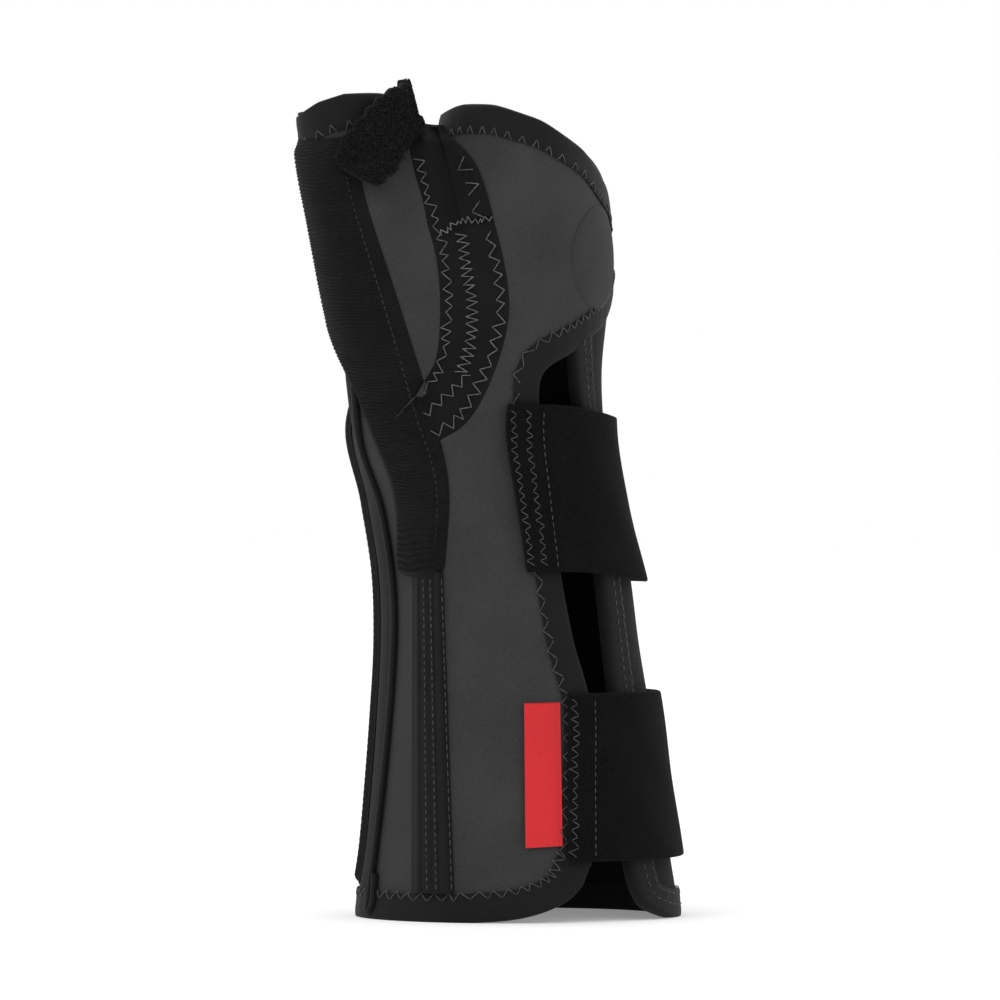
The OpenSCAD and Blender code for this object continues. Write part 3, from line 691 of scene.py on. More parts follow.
palmStrip = patchRows(cut(pipingLine, low=5), hiddenSeam, bottom=line((-37.4, 5), (-18.5, 7)),
                      top=joined(line((-41.6, 163), (-34, 160)), line((-34, 160), (-22, 139))))
panels.append(sewnSheet("mainPalmStrip", palmStrip, onFront, cloth["lift"], wave=slowOver))
finish(joinAll(panels, "main_panel_cloth"), "greyKnit", nodes=["main_panel"])
print("main panel")

thumbRight = thumbFromFront(webThumbSide)
thumbLeft = evenly(np.array([[-92 * thumbScale, 166], [-92 * thumbScale, 241]]), count=50)
thumbLow = joined(thumbFromFront(line((-41.6, 163), (-34, 159))),
                  thumbFromFront(line((-34, 159), (-28, 150))))
thumbTop = line(thumbLeft[-1], thumbRight[-1])
rows = patchRows(thumbLeft, thumbRight, bottom=joined(thumbLeft[:1], thumbLow, thumbRight[:1]), top=thumbTop)
obj = sewnSheet("thumb_panel_cloth", rows, onThumb, cloth["lift"], wave=lambda u, v, q: slow(q))
finish(obj, "greyKnit", nodes=["thumb_panel"])

# The web: an insert that the leaf laps over above the cross seam.
web = {"thick": 2.4, "lift": 0.12, "puff": 0.9, "leafLift": 0.9, "leafThick": 2.0, "foldDepth": 1.6}
webRows = patchRows(moved(webThumbSide, 1, 0.6), moved(webHandSide, -1, 0.6),
                    bottom=line((-28, 151), (-22, 139)), top=line((-25.5, 240), (-15.6, 238)), step=1.2)


def webWave(u, v, q):
    puff = web["puff"] * np.sin(np.pi * u)**0.8 * np.clip(np.sin(np.pi * v) * 2, 0, 1)
    fold = web["foldDepth"] * np.exp(-((q[..., 0] + 9.5 + (q[..., 1] - 208) * 0.24) / 2.2)**2)
    fold = fold * np.clip((q[..., 1] - 200) / 14, 0, 1)
    return puff - fold + 0.1 + softNoise(9, 6, 0.25)(q)


obj = sewnSheet("web_insert_cloth", webRows, onFront, web["lift"], wave=webWave, thick=web["thick"])
finish(obj, "darkStretch", nodes=["web_insert"])
leafRight = joined(cut(webHandSide, low=208.7), np.array([[-15.6, 238.0]]))
leafRows = patchRows(webFold[::-1], leafRight, bottom=line((-8.7, 208.7), leafRight[0]), step=1.0)
obj = sewnSheet("web_leaf_cloth", leafRows, onFront, web["leafLift"], thick=web["leafThick"],
                wave=lambda u, v, q: 0.9 * np.sin(np.pi * np.clip(u, 0, 1))**0.7 * (1 - 0.5 * v))
finish(obj, "darkStretch", nodes=["web_leaf"])
print("thumb panel and web")

# Palm side, as far round as the seam on the little-finger side, and the back of the thumb.
palmSeam = -147.0
palmRight = joined(armFromFront(cut(pipingLine, low=4)), armFromTurn([(-78, 168), (-77, 200), (-80, 240)]))
palmLeft = evenly(armFromTurn([(palmSeam, 4), (palmSeam, 232)]), count=120)
palmTop = armFromTurn([(palmSeam, 224), (-130, 229), (-110, 236), (-80, 240)])
slowPalm = softNoise(5, 14, 0.35)
palmRows = patchRows(palmLeft, palmRight, top=evenly(palmTop, count=40))
palm = [sewnSheet("palmSide", palmRows, onArm, cloth["lift"], wave=lambda u, v, q: slowPalm(q))]
thumbBack = patchRows(evenly(np.array([[-212 * thumbScale, 150], [-212 * thumbScale, 240.0]]), count=60),
                      evenly(np.array([[-92 * thumbScale, 164], [-92 * thumbScale, 240.0]]), count=60))
palm.append(sewnSheet("thumbBack", thumbBack, onThumb, cloth["lift"], wave=lambda u, v, q: slowPalm(q)))
finish(joinAll(palm, "palmar_panel_cloth"), "darkStretch", nodes=["palmar_panel"])

ulnarLeft = armFromFront(slotUlnar[::-1])
ulnarRight = evenly(armFromTurn([(213, 3), (213, 192)]), count=120)
ulnarTop = joined(armFromFront(np.array([[25.5, 172], [30, 174.8]])),
                  armFromTurn([(72, 179), (90, 186), (120, 190), (150, 192), (213, 192)]))
ulnarLow = armFromTurn([(62, 5), (75, 3.5), (90, 3.2), (213, 3)])
slowBack = softNoise(11, 15, 0.3)
ulnarRows = patchRows(ulnarLeft, ulnarRight, bottom=joined(ulnarLeft[:1], ulnarLow), top=ulnarTop)
back = [sewnSheet("ulnarSide", ulnarRows, onArm, cloth["lift"] - 0.3, wave=lambda u, v, q: slowBack(q))]
backTop = patchRows(evenly(armFromTurn([(150, 190), (150, 211)]), count=20),
                    evenly(armFromTurn([(213, 190), (213, 224)]), count=20),
                    top=evenly(armFromTurn([(150, 211), (165, 209), (190, 211), (213, 223)]), count=40))
back.append(sewnSheet("ulnarHand", backTop, onArm, cloth["lift"], wave=lambda u, v, q: slowBack(q)))
finish(joinAll(back, "ulnar_panel_cloth"), "darkStretch", nodes=["ulnar_panel"])
print("palm and back")

# Bindings, folded over every raw edge.
binding = {"wide": 8.0, "cuffWide": 9.0, "proud": 0.75, "inner": -3.7, "roll": 0.9, "step": 1.2}


def foldedProfile(wide, s=binding):
    top, low, r = s["proud"], s["inner"], s["roll"]
    mid = (top + low) / 2
    half = (top - low) / 2
    fold = [(-r * math.cos(a), mid + half * math.sin(a)) for a in np.radians([72, 48, 24, 0, -24, -48, -72])]
    outside = [(wide, 0.05), (wide, top - 0.12), (wide - 0.5, top), (wide * 0.75, top + 0.06),
               (wide * 0.5, top + 0.02), (wide * 0.25, top + 0.12), (0.6, top + 0.05)]
    inside = [(0.6, low), (wide * 0.5, low), (wide, low + 0.1), (wide, -2.9)]
    return outside + fold + inside


def gathers(seed, height=0.16, pitch=5.0):
    r = np.random.default_rng(seed)
    a, b = r.uniform(0, 6, 2)
    step = 6.283 * binding["step"]

    def ripple(i, across):
        waves = 0.6 * np.sin(i * step / pitch + a) + 0.4 * np.sin(i * step / (pitch * 1.7) + b)
        return height * waves * np.clip(across / 8, 0.15, 1)
    return ripple


def makeBinding(name, path, side, wide, mapper, node, closed=False, seed=1, height=0.16):
    path = evenly(path, step=binding["step"])
    obj = band(name, path, side, foldedProfile(wide), mapper, closed=closed, ripple=gathers(seed, height))
    return finish(obj, "edgeTape", nodes=[node])


radialPath = joined(wrapFromFront(line((29.42, 16.5), (29.5, 18))), slotUp, aroundHand)
makeBinding("radial_edge_binding_cloth", radialPath, 1, binding["wide"], onWrap, "radial_edge_binding",
            seed=2)

hemTurns = np.array([(t, 0.0) for t in np.arange(92, 336, 4)] + [(338, 0.05), (341, 0.5)], float)
hemArm = armFromFront(joined(hemFront, line((29.5, 18), (29.5, 19))))
hemArm = cut(hemArm, low=-18 * armScale, axis=0) + [360 * armScale, 0]
hemPath = joined(armFromTurn(hemTurns), hemArm)
makeBinding("hem_binding_cloth", hemPath, 1, binding["wide"], onArm, "hem_binding", seed=3)

ulnarPath = joined(armFromFront(slotUlnar), armFromTurn([(68, 1.0), (76, 0.3), (93, 0.0)]))
ulnarPath = curve(evenly(ulnarPath, count=60), 1.2)
makeBinding("ulnar_edge_binding_cloth", ulnarPath, 1, binding["wide"], onArm, "ulnar_edge_binding", seed=4)

# How far across a tube's surface lies at a height and a turn; k is the column of its half width.
def sideAt(table, k, z, turn):
    at = np.array([z])
    return smoothAt(table, 1, at)[0] + smoothAt(table, k, at)[0] * math.sin(math.radians(turn))


# Each ring's height follows its edge curve, so height and place across are found together.
ringTurns = np.arange(-90, 271, 3.0)
frontX = np.array([-16, -15.5, -9, 1, 16, 28, 35, 44], float)
frontZ = np.array([239, 241, 243, 242.2, 237.4, 229.6, 219, 212], float)
backX = np.array([-22, -16, -8, 2, 16, 34, 60], float)
backZ = np.array([240, 237, 222, 211, 209, 214, 213], float)
ring = []
for t in ringTurns:
    z = 235.0
    for step in range(6):
        x = sideAt(fitting["arm"], 2, z, t)
        z = np.interp(x, frontX, frontZ) if -89 < t < 90 else np.interp(x, backX, backZ)
    ring.append((t, z))
ring = np.array(ring)
ring[0, 1] = ring[-1, 1] = 238.5
for step in range(4):
    ring[1:-1, 1] = (ring[:-2, 1] + 2 * ring[1:-1, 1] + ring[2:, 1]) / 4
handPath = armFromTurn(ring)
makeBinding("hand_top_binding_cloth", handPath, -1, binding["wide"], onArmRing, "hand_top_binding",
            closed=True, seed=5, height=0.1)

cuffTurns = np.arange(-180, 181, 6.0)
cuff = []
for t in cuffTurns:
    z = 242.0
    for step in range(5):
        x = sideAt(fitting["thumb"], 3, z, t)
        z = np.interp(x, cuffTopX, cuffTopZ)
    cuff.append((t * thumbScale, z))
cuffPath = np.array(cuff)
makeBinding("thumb_cuff_binding_cloth", cuffPath, -1, binding["cuffWide"], onThumbRing, "thumb_cuff_binding",
            closed=True, seed=6, height=0.1)
print("bindings")

# Piping: a corded edge between the palm side and the grey cloth, ending in a small loop at the hem.
piping = {"radius": 1.3, "lift": 1.1}
pipeUp = slantFrom3d(onFront(cut(pipingLine, low=2.5), 2.4))
turnBack = curve([[2.6, 13.5], [2.9, 8.5], [2.6, 3.6], [1.2, 1.6], [0.1, 2.6]], 0.8) + [pipeUp[0, 0] - 0.1, 0]
pipePath = evenly(curve(evenly(joined(turnBack[:-1], pipeUp), count=40), 1.2), step=1.2)
profile = [(piping["radius"] * math.cos(a), piping["lift"] + piping["radius"] * math.sin(a))
           for a in np.radians(np.arange(0, 360, 36))]
pipe = band("palmar_piping_cloth", pipePath, 1, profile, onSlant)
finish(pipe, "edgeTape", nodes=["palmar_piping"])

# Stay tape on the forearm: a raised tape with grooves along its stitched lines.
tape = {"top": 2.1, "edge": 0.35}
tapeLeft = evenly(line((-23.2, 104), (-23.4, 8.5))[::-1], count=80)
tapeRight = evenly(line((-14, 104), (-10.6, 8.5))[::-1], count=80)
tapeRows = patchRows(tapeLeft, tapeRight, nu=30, step=1.5)


def tapeWave(u, v, q):
    side = np.clip(np.minimum(u, 1 - u) / 0.16, 0, 1)
    body = side * side * (3 - 2 * side)
    grooves = sum(np.exp(-((u - c) / 0.035)**2) for c in (0.24, 0.5, 0.66, 0.88))
    uneven = 0.1 * np.sin(q[..., 1] * 0.7 + q[..., 0])
    return (tape["top"] - tape["edge"]) * body - 0.35 * grooves * body + uneven


obj = sewnSheet("radial_stay_tape_cloth", tapeRows, onFront, tape["edge"], thick=0.5, wave=tapeWave)
finish(obj, "edgeTape", nodes=["radial_stay_tape"])

# Ribbed pocket over the thumb stay.
rib = {"pitch": 1.05, "height": 0.42, "foldPitch": 1.9, "foldHeight": 0.34, "foldTop": 121.0, "top": 2.55,
       "edge": 0.35, "low": 103.3, "high": 233.6, "step": 0.15, "columns": 27, "sag": 0.9, "seam": 2.5}
zs = np.arange(rib["low"], rib["high"], rib["step"])
leftPts = onFront(cut(pocketPalm, high=160)[::-1], 1.2)
upTube = onThumb(np.array([[-90 * thumbScale, z] for z in np.arange(176, 236, 4.0)]), 3.2)
leftSide = curve(slantFrom3d(np.vstack([leftPts[::3], upTube])), 1.0)
rightSide = slantFrom3d(onFront(pocketHand[::-1], 3.2))
palmX = np.interp(zs, leftSide[:, 1], leftSide[:, 0])
handX = np.interp(zs, rightSide[:, 1], rightSide[:, 0])
corner = np.clip((zs - rib["low"]) / 3.2, 0, 1)
rounding = 3.0 * (1 - np.sqrt(1 - (1 - corner)**2))
palmX, handX = palmX + rounding - 0.8, handX - rounding
uu = np.linspace(0, 1, rib["columns"])
acrossRows = palmX[:, None] + (handX - palmX)[:, None] * uu
pocketRows = np.stack([acrossRows, np.broadcast_to(zs[:, None], acrossRows.shape)], axis=-1)
# The ribs sag a little in the middle.
pocketRows[..., 1] -= rib["sag"] * np.sin(np.pi * uu)[None, :]


def pocketWave(u, v, q):
    wide = (handX - palmX)[:, None]
    side = np.clip(np.minimum(u * wide / 2.6, (1 - u) * wide / 2.2), 0, 1)
    body = side**2 * (3 - 2 * side)
    low = np.clip((zs - rib["low"]) / 1.6, 0, 1)[:, None]
    high = np.clip((233.8 - zs) / 5.0, 0, 1)[:, None]
    body = body * low**2 * (3 - 2 * low) * (0.25 + 0.75 * high**2 * (3 - 2 * high))
    phase = zs[:, None] + 0.35 * np.sin(u * 9 + zs[:, None] * 0.21) + 0.25 * np.sin(zs[:, None] * 0.9)
    fine = rib["height"] * (np.abs(np.sin(np.pi * phase / rib["pitch"]))**0.7 - 0.5)
    coarse = rib["foldHeight"] * (np.sin(2 * np.pi * phase / rib["foldPitch"]))
    share = np.clip((rib["foldTop"] - zs) / 3, 0, 1)[:, None]
    swell = 0.9 + 0.3 * np.sin(np.pi * u)
    seam = np.exp(-(((1 - u) * wide - rib["seam"]) / 0.45)**2)
    ribs = fine * (1 - share) + coarse * share + 0.35 * share
    return body * ((rib["top"] - rib["edge"]) * swell + ribs - 0.7 * seam)


obj = sewnSheet("thumb_stay_pocket_cloth", pocketRows, onSlant, rib["edge"], thick=0.6, wave=pocketWave)
finish(obj, "ribVelour", nodes=["thumb_stay_pocket"])

# Pocket of the palmar stay, on the palm side.
palmPocket = {"top": 2.5, "edge": 0.4}


# Rows of (y, up), seen from the palm.
def onPalm(q, off=0.0):
    q = flat(q)
    start = np.stack([q[:, 0] * 0 - 90, q[:, 0], q[:, 1]], axis=1)
    return march(start, np.array([[1.0, 0, 0]]) * np.ones((len(q), 1)), off)


palmLine = curve([[11, 9.0], [11, 60], [12, 120], [14, 165], [13, 206]])
pocketShape = patchRows(moved(palmLine, 1, 12), moved(palmLine, -1, 12), step=1.0, nu=25)


def palmWave(u, v, q):
    side = np.clip(np.minimum(np.minimum(u, 1 - u) * 24 / 3, np.minimum(v, 1 - v) * 197 / 3), 0, 1)
    ribs = 0.06 * np.sin(q[..., 1] * 3.1)
    return (palmPocket["top"] - palmPocket["edge"]) * side**2 * (3 - 2 * side) + ribs


obj = sewnSheet("palmar_stay_pocket_cloth", pocketShape, onPalm, palmPocket["edge"], thick=0.6, wave=palmWave)
finish(obj, "ribVelour", nodes=["palmar_stay_pocket"])
print("piping, tape and pockets")

# Round patch on the back of the hand, a raised button of the same cloth.
patch = {"turn": 61.0, "z": 198.0, "radius": 16.0, "height": 1.3}
grid = np.linspace(-1, 1, 41)
gu, gv = np.meshgrid(grid, grid)
du, dv = gu * np.sqrt(1 - gv**2 / 2), gv * np.sqrt(1 - gu**2 / 2)
centre = wrapFromTurn([(patch["turn"], patch["z"])])[0]
patchPts = np.stack([centre[0] + du * patch["radius"], centre[1] + dv * patch["radius"]], axis=-1)


def patchWave(u, v, q):
    r = np.sqrt(du**2 + dv**2)
    rim = np.clip((1 - r) / 0.14, 0, 1)
    return patch["height"] * rim**0.7 - 0.25 * np.exp(-((r - 0.86) / 0.03)**2) + 0.25 * (1 - r**2)


obj = sewnSheet("round_patch_cloth", patchPts, onWrap, 0.1, thick=0.4, wave=patchWave)
finish(obj, "greyKnit", nodes=["round_patch"])

# Folded woven label sewn in beside the strap, left plain.
label = {"left": 10.6, "right": 21.4, "low": 22.2, "high": 64.8, "lift": 0.35}
labelLeft = line((label["left"], label["low"]), (label["left"] - 0.4, label["high"]))
labelRight = line((label["right"] + 0.2, label["low"] + 0.5), (label["right"] - 0.5, label["high"] + 0.2))
rows = patchRows(labelLeft, labelRight, step=0.7)


def foldWave(u, v, q):
    lifted = 0.5 * (1 - u)**1.5 + 0.18 * np.sin(v * 7 + 0.5) * (1 - u)
    return lifted - 0.16 * np.exp(-((u - 0.93) / 0.03)**2)


upper = sewnSheet("labelUpper", rows, onFront, label["lift"] + 0.55, thick=0.32, wave=foldWave)
lower = sewnSheet("labelLower", rows + [0.0, 0.3], onFront, label["lift"], thick=0.3,
                  wave=lambda u, v, q: 0.35 * (1 - u)**1.5 + 0 * v)
finish(joinAll([upper, lower], "side_label_cloth"), "redLabel", nodes=["side_label"])
print("patch and label")

# Straps.
straps = {
    "wrist": {"low": 104.0, "width": 50.0, "droop": 3.2, "hinge": (20.4, 16.0), "sewn": (10.5, 4.8),
              "end": 204.0, "flare": 1.5, "seed": 21, "body": "wrist_strap_body", "tab": "wrist_tab_body",
              "line": ((22.308, -32.528, 103.875), (18.190, -30.752, 153.874))},
    "forearm": {"low": 18.0, "width": 50.0, "droop": 0.0, "hinge": (30.6, 30.0), "sewn": (22.6, 22.6),
                "end": 200.0, "flare": 0.5, "seed": 22,
                "body": "forearm_strap_body", "tab": "forearm_tab_body",
                "line": ((32.684, -37.408, 17.875), (32.385, -31.873, 67.875))},
}
webbing = {"thick": 2.2, "root": 1.0, "over": 2.4, "bodyEnd": 164.0}


# (share of the width, share of the thickness) once round a piece of webbing with soft edges.
def strapSection(s):
    w = s["width"]
    top = [(v / w, 1.0) for v in np.concatenate([[0.9], np.linspace(2.2, w - 2.2, 34), [w - 0.9]])]
    lowEdge = [(0.9 / w, 0.0), (0.3 / w, 0.12), (0.0, 0.45), (0.06 / w, 0.72), (0.35 / w, 0.93)]
    highEdge = [(1 - v, h) for v, h in reversed(lowEdge)]
    bottom = [(v / w, 0.0) for v in np.linspace(w - 2.2, 2.2, 12)]
    return lowEdge + top + highEdge + bottom


def frontTurn(x, z):
    p = armFromFront(np.array([[x, z]]))[0]
    return p[0] / armScale


# The turns of a strap's slanting line, one millimetre in from each edge.
def edgeTurns(s, which):
    return frontTurn(s[which][0], s["low"] + 1), frontTurn(s[which][1], s["low"] + s["width"] - 1)


def strapMesh(name, s, begin, end, step=1.4, corner=0.0):
    section = strapSection(s)
    section = section + [section[0]]
    n = int(abs(end(0.5) - begin(0.5)) * armScale / step) + 2
    r = np.random.default_rng(s["seed"])
    ph = r.uniform(0, 6, 4)
    u = np.linspace(0, 1, n)[:, None]
    sv = np.array([v for v, _ in section])
    hs = np.array([h for _, h in section])[None, :]
    a, b = np.array([begin(v) for v in sv])[None, :], np.array([end(v) for v in sv])[None, :]
    turn = a + (b - a) * u
    vs = np.broadcast_to(sv[None, :], turn.shape)
    if corner:                                       # round the free end's corners
        reach = (1 - u) * abs(end(0.5) - begin(0.5)) * armScale
        c = np.clip(1 - reach / corner, 0, 1)
        pull = corner * (1 - np.sqrt(1 - c**2)) / s["width"]
        vs = pull + vs * (1 - 2 * pull)
    z = s["low"] + vs * s["width"] - s["droop"] * ease((turn - 30) / 60)
    lift = webbing["root"] + (webbing["over"] - webbing["root"]) * ease((turn - 60) / 90)
    side = np.exp(-((turn - 84) / 26)**2)
    lift = lift + s["flare"] * side * (1 - vs)**2 + 0.5 * side * vs**3
    lift = lift + 0.16 * side * np.sin(turn * 0.11 + vs * 5 + ph[0])
    lift = lift + 0.10 * np.sin(turn * 0.2 + ph[1] + vs * 9) * (turn > 34)
    pts = onArm(np.stack([turn * armScale, z], axis=-1), (lift + hs * webbing["thick"]).ravel())
    obj = placeGrid(name, pts, len(section), n)
    closeSides(obj)
    return obj


def hingeEnds(low, high, toward, before, after):
    low, high = np.array(low), np.array(high)
    h = (high - low) / np.linalg.norm(high - low)
    d = np.array(toward, float)
    d = d - h * d.dot(h)
    d /= np.linalg.norm(d)
    c = (low + high) / 2
    return tuple((c - d * before) * mm), tuple((c + d * after) * mm)


def sheetBand(name, s, t0, t1, margin, off, thick, wave=None, grow=-1, step=1.0):
    nu = max(6, int((t1 - t0) * armScale / step))
    nv = max(6, int((s["width"] - 2 * margin) / step))
    t, v = np.meshgrid(np.linspace(t0, t1, nu), np.linspace(margin, s["width"] - margin, nv))
    rows = np.stack([t * armScale, s["low"] - s["droop"] + v], axis=-1)
    rise = np.full((nv, nu), float(off))
    if wave is not None:
        rise = rise + wave(t * armScale, v)
    pts = onArm(rows, rise.ravel())
    obj = placeGrid(name, pts, nu, nv, rows.reshape(-1, 2))
    faceOut(obj, pts)
    applyModifier(obj, "SOLIDIFY", thickness=thick * mm, offset=grow)
    smoothShade(obj)
    return obj


for key, s in straps.items():
    lowTurn, highTurn = edgeTurns(s, "sewn")
    begin = lambda v, a=lowTurn, b=highTurn: a + (b - a) * v
    strap = strapMesh(key + "_strap_cloth", s, begin, lambda v: webbing["bodyEnd"])
    finish(strap, "velour", body=None, nodes=[key + "_strap", key + "_strap_anchor"])
    start, end = hingeEnds(*s["line"], (0.72, 0.69, 0), 2.0, 4.5)
    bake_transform(strap)
    tab = strapMesh(key + "_tab_cloth", s, lambda v: webbing["bodyEnd"] + 0.6, lambda v, e=s["end"]: e,
                    corner=7.0)
    finish(tab, "velour", body=s["tab"], nodes=[key + "_strap_tab"])
    hooks = lambda a, b: -0.22 * np.maximum(0, np.sin(a * 5.2) * np.sin(b * 5.2)) + 0 * a
    hook = sheetBand(key + "_hook_cloth", s, 168, s["end"] - 1, 3.0, 1.65, 0.6, wave=hooks, grow=1, step=0.32)
    finish(hook, "hookTape", body=s["tab"], nodes=[key + "_hook_patch"])
    fuzz = np.random.default_rng(s["seed"] + 5)
    loops = lambda a, b: 0.18 * fuzz.random(a.shape)
    pad = sheetBand(key + "_pad_cloth", s, 150, s["end"] + 4, 1.5, 0.85, 0.8, wave=loops, step=0.5)
    finish(pad, "pile", nodes=[key + "_loop_pad"])
print("straps")

# Thumb closure, a looped pile tab.
closure = {"width": 15.0, "thick": 2.6, "low": 223.5, "climb": 19.0, "lean": 1.9, "free": -9.0,
           "root": 116.0, "standOff": 4.5, "loops": 2600,
           "line": ((-24.099, -25.753, 236.375), (-27.290, -26.383, 248.375))}


def closurePoints(turn, reach, off):
    slant = 1 - ease((turn - 55) / 35)
    climb = closure["climb"] * np.sin(np.radians(np.clip(turn, 0, 90)))
    z = closure["low"] + climb + reach * np.cos(np.radians(35 * slant))
    t = np.radians(turn - reach * closure["lean"] * slant)
    r = smoothAt(fitting["thumb"], 3, z) + off + closure["standOff"] * ease((turn - 30) / 55)
    return np.stack([smoothAt(fitting["thumb"], 1, z) + r * np.sin(t),
                     smoothAt(fitting["thumb"], 2, z) - r * np.cos(t), z], axis=-1)


def closureLift(turn):
    hook = 2.5 + 0.3 + 0.9 + 0.1
    return hook + (0.8 - hook) * ease((turn - 15) / 50)


# Rounded free end, and a ragged cut at the root.
def closureReach(turn, v):
    half = closure["width"] / 2
    fromEnd = (turn - closure["free"]) * 0.29
    c = np.clip(1 - fromEnd / half, 0, 1)
    half = half * np.sqrt(np.clip(1 - c**2.4, 0.02, 1))
    jag = 1.3 * ease((turn - 78) / 14) * (np.abs(((turn * 0.29) % 4.4) - 2.2) - 1.1) * (v > 0.9)
    return (v * 2 - 1) * (half + 0.35 * np.sin(turn * 0.45 + v * 3)) + jag


section = [(v, 1.0) for v in np.linspace(0.04, 0.96, 26)] + [(0.99, 0.85), (1.0, 0.5), (0.99, 0.15)] \
    + [(v, 0.0) for v in np.linspace(0.95, 0.05, 12)] + [(0.01, 0.15), (0.0, 0.5), (0.01, 0.85)]
section = np.array(section + [section[0]])
turns = np.linspace(closure["free"], closure["root"], 110)
lumps = np.random.default_rng(41)
rows = []
for t in turns:
    tt = np.full(len(section), t)
    rough = 0.35 * lumps.random(len(section)) * (section[:, 1] > 0.4)
    rough[-1] = rough[0]
    height = closureLift(tt) + section[:, 1] * closure["thick"] - 0.3 + rough
    rows.append(closurePoints(tt, closureReach(tt, section[:, 0]), height))
tabBody = placeGrid("closureBody", np.array(rows), len(section), len(turns))
closeSides(tabBody)

t = lumps.uniform(closure["free"] + 0.5, closure["root"] - 1, closure["loops"])
v = lumps.uniform(0.0, 1.0, closure["loops"])
reach = closureReach(t, v)
heading = lumps.uniform(0, 6.283, closure["loops"])
size = lumps.uniform(0.35, 0.85, closure["loops"])
tall = lumps.uniform(0.35, 0.95, closure["loops"])
loopRuns = []
for k in np.linspace(0, 1, 6):
    around = (k - 0.5) * size * 2
    loopRuns.append(closurePoints(t + np.cos(heading) * around / 0.29, reach + np.sin(heading) * around,
                                  closureLift(t) + closure["thick"] - 0.35 + tall * np.sin(np.pi * k)**0.7))
loops = threads("closureLoops", list(np.stack(loopRuns, axis=1)), radius=0.16, sides=0)
tab = joinAll([tabBody, loops], "thumb_closure_cloth")
finish(tab, "pile", body=None, nodes=["thumb_closure", "thumb_closure_root"])
start, end = hingeEnds(*closure["line"], (-0.6, -0.8, 0), 1.5, 3.5)
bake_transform(tab)

tt, vv = np.meshgrid(np.linspace(closure["free"] + 3, 14, 30), np.linspace(-4.75, 4.75, 40))
hookHeight = 2.8 + 0.2 - 0.2 * np.maximum(0, np.sin(tt * 1.6) * np.sin(vv * 5)).ravel()
hookPts = closurePoints(tt.ravel(), vv.ravel(), hookHeight)
hook = placeGrid("thumb_hook_cloth", hookPts, 30, 40)
faceOut(hook, hookPts)
applyModifier(hook, "SOLIDIFY", thickness=0.6 * mm, offset=1)
smoothShade(hook)
finish(hook, "hookTape", body="closure_body", nodes=["thumb_hook_patch"])
print("thumb closure")

# Sewing.
runs = []


# Leaves only some legs of a zigzag on top, as where the thread passes under the tape.
def gapped(runsIn, keep=2, skip=2):
    return [r for i, r in enumerate(runsIn) if (i + 3) % (keep + skip) < keep]


def wide(path, side, near, far, mapper, above, pitch, skip=2, seed=1, jitter=0.12):
    legs = zigzag(path, side, near, far, mapper, above=above, pitch=pitch, jitter=jitter, seed=seed)
    return gapped(legs, 2, skip)


runs += wide(handPath, -1, 5.6, 8.0, onArmRing, 0.9, 3.2, skip=2, seed=1)
runs += wide(cuffPath, -1, 6.6, 9.2, onThumbRing, 0.9, 3.1, skip=2, seed=2)
upperSlot = joined(slotUp[slotUp[:, 1] > 158], aroundHand)
lowerSlot = cut(slotUp, high=158)
runs += zigzag(upperSlot, 1, 6.2, 8.6, onWrap, above=0.95, pitch=3.3, jitter=0.12, seed=3)
runs += zigzag(lowerSlot, 1, 6.0, 8.4, onWrap, above=0.95, pitch=5.6, jitter=0.15, seed=4)
runs += zigzag(hemPath, 1, 6.0, 8.6, onArm, above=0.95, pitch=3.8, jitter=0.15, seed=5)
runs += running(ulnarPath, 1, 6.6, onArm, above=0.92, pitch=2.8)
runs += running(ulnarPath, 1, 3.4, onArm, above=0.92, pitch=2.8)
threadsGrey = threads("edge_stitching", runs, radius=0.17)
finish(threadsGrey, "thread", nodes=[])

runs = []
puffs = lambda f, base: base + web["puff"] * f
thumbEdge = cut(webThumbSide, low=157, high=228)
runs += zigzag(thumbEdge, 1, -1.0, -3.4, onFront, above=puffs(0.45, 0.65), pitch=3.6, jitter=0.5, seed=6)
lowHand = cut(webHandSide, high=207)
highHand = cut(webHandSide, low=209, high=229)
runs += zigzag(lowHand, 1, 1.0, 3.8, onFront, above=puffs(0.55, 0.75), pitch=4.6, jitter=0.35, seed=7)
runs += wide(highHand, 1, 1.6, 5.0, onFront, 1.95, 4.6, skip=1, seed=8, jitter=0.3)
crossSeam = curve([[-14.6, 204.6], [-8.7, 208.0], [-3.6, 208.6], [0.6, 208.9]])
runs += zigzag(crossSeam, 1, -0.7, 0.7, onFront, above=1.9, pitch=1.7, jitter=0.25, seed=9)
column = curve([[-8.2, 205.0], [-7.0, 196], [-5.2, 184], [-5.6, 172], [-8.4, 163]])
runs += zigzag(column, 1, -1.9, 1.5, onFront, above=1.75, pitch=2.5, jitter=0.25, seed=10)
lowRing = curve([[-26.0, 147.5], [-19.5, 151.5], [-12.0, 157.0], [-6.0, 163.5]])
runs += zigzag(lowRing, 1, -1.0, 1.4, onFront, above=1.45, pitch=4.2, jitter=0.3, seed=11)
finish(threads("web_stitching", runs, radius=0.17), "paleThread")

runs = []
seamPath = cut(pipeUp, low=12, high=161)
runs += running(seamPath, 1, 1.7, onSlant, above=0.75, pitch=1.9, fillPart=0.66)
finish(threads("piping_stitching", runs, radius=0.16), "paleThread")

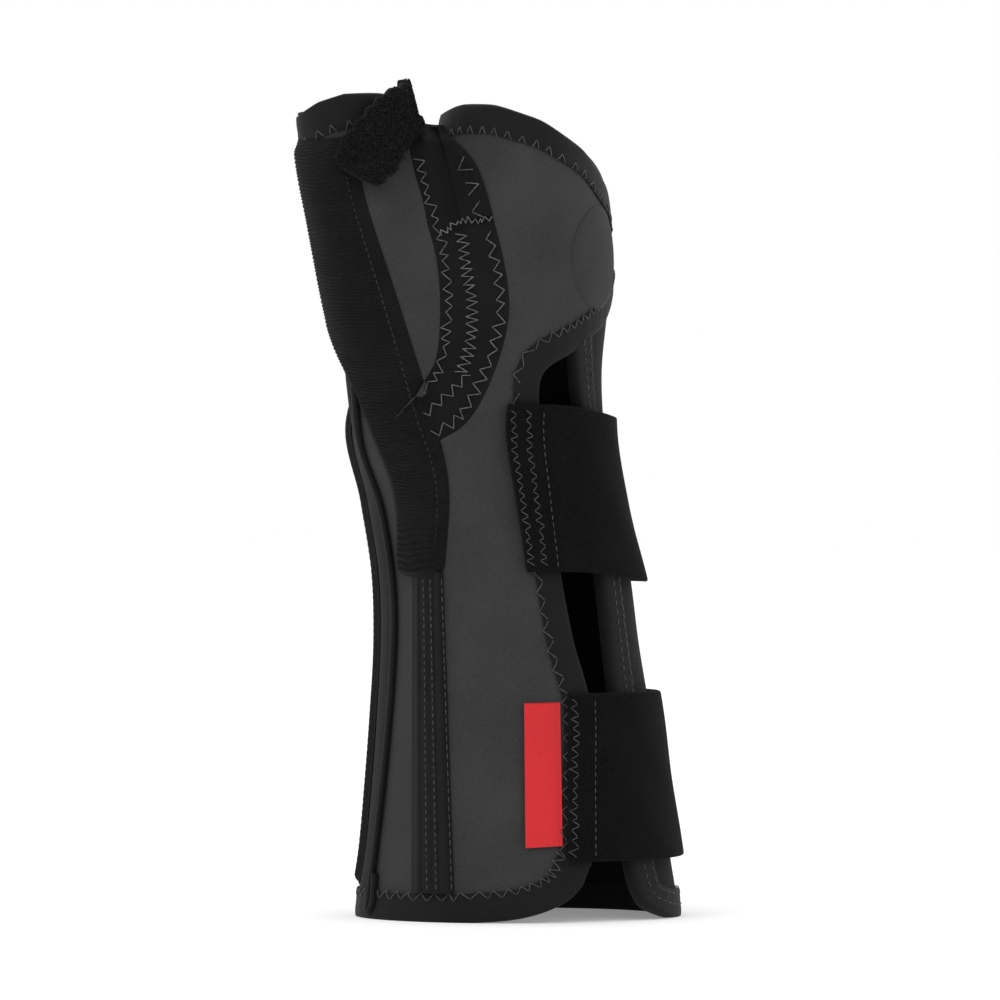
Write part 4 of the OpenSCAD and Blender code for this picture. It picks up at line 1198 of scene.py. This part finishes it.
runs = []
for share, pitch in ((0.12, 2.4), (0.36, 2.2), (0.58, 2.2), (0.94, 2.6)):
    path = tapeLeft * (1 - share) + tapeRight * share
    above = tape["top"] + 0.1 if 0.15 < share < 0.9 else 1.3
    runs += running(path[1:-1], 1, 0, onFront, above=above, pitch=pitch)
strapRows = {"wrist": ((0.14, "zig"), (0.5, "zig"), (0.86, "run")), "forearm": ((0.16, "zig"), (0.9, "run"))}
for key, s in straps.items():
    sewnA, hingeA = edgeTurns(s, "sewn"), edgeTurns(s, "hinge")
    top = webbing["root"] + webbing["thick"] + 0.12
    for share, kind in strapRows[key]:
        a = sewnA[0] + (hingeA[0] - sewnA[0]) * share, sewnA[1] + (hingeA[1] - sewnA[1]) * share
        ends = [[a[0] * armScale, s["low"] + 1.6], [a[1] * armScale, s["low"] + s["width"] - 1.6]]
        path = evenly(np.array(ends), count=40)
        if kind == "zig":
            runs += zigzag(path, 1, -0.9, 0.9, onArm, above=top, pitch=3.0, jitter=0.2, seed=s["seed"])
        else:
            runs += running(path, 1, 0, onArm, above=top, pitch=2.4)
finish(threads("strap_stitching", runs, radius=0.15), "thread")

runs = []
seamLine = np.stack([handX - rib["seam"], zs], axis=1)[20:-20]
runs += running(evenly(seamLine, step=1.0), 1, 0, onSlant, above=2.3, pitch=2.0)
finish(threads("pocket_stitching", runs, radius=0.14), "blackThread")
print("sewing")

# Plain CAD solids that stay: the metal stays.
for name in ("palmar_stay", "thumb_stay", "radial_stay"):
    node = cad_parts[name]
    for held in node.material_slots:
        held.material = mats["stayMetal"]

# Studio.
studio = {"floor": 14.0, "lens": 250.0, "across": 0.3003, "aim": (0.00346, 0.0, 0.1254), "front": -0.016,
          "paper": 0.86, "paperGlow": 0.22, "world": 1.0}
bpy.ops.object.select_all(action="DESELECT")
bpy.ops.mesh.primitive_circle_add(vertices=96, radius=studio["floor"], fill_type="NGON",
                                  location=(0, 0, -0.0003))
sweep = bpy.context.object
sweep.name = "floor"
paper = bpy.data.materials.new("paper")
paper.use_nodes = True
bsdf = paper.node_tree.nodes["Principled BSDF"]
bsdf.inputs["Base Color"].default_value = (*[studio["paper"]] * 3, 1)
bsdf.inputs["Roughness"].default_value = 0.9
bsdf.inputs["Emission Color"].default_value = (1, 1, 1, 1)
bsdf.inputs["Emission Strength"].default_value = studio["paperGlow"]
sweep.data.materials.append(paper)

world = bpy.data.worlds.new("studio")
bpy.context.scene.world = world
world.use_nodes = True
world.node_tree.nodes["Background"].inputs["Color"].default_value = (1, 1, 1, 1)
world.node_tree.nodes["Background"].inputs["Strength"].default_value = studio["world"]


def areaLight(name, at, size, power, toward=(0, 0, 0.12)):
    bpy.ops.object.light_add(type="AREA", location=at)
    lamp = bpy.context.object
    lamp.name = name
    lamp.data.shape = "RECTANGLE"
    lamp.data.size, lamp.data.size_y = size
    lamp.data.energy = power
    lamp.rotation_euler = (Vector(toward) - Vector(at)).to_track_quat("-Z", "Y").to_euler()
    return lamp


areaLight("keySoftbox", (-1.1, -1.3, 1.3), (1.2, 1.2), 7)
areaLight("fillSoftbox", (1.5, -0.9, 0.7), (1.0, 1.6), 1)
areaLight("topSoftbox", (0.1, 0.3, 1.8), (1.6, 1.6), 2)

bpy.ops.object.camera_add()
cam = bpy.context.object
bpy.context.scene.camera = cam
cam.data.lens = studio["lens"]
cam.data.sensor_width = 36
away = studio["across"] * studio["lens"] / 36
cam.location = (studio["aim"][0], studio["front"] - away, studio["aim"][2])
cam.rotation_euler = (math.radians(90), 0, 0)
cam.data.clip_end = 50
bpy.context.scene.view_settings.view_transform = "Standard"
print("studio")
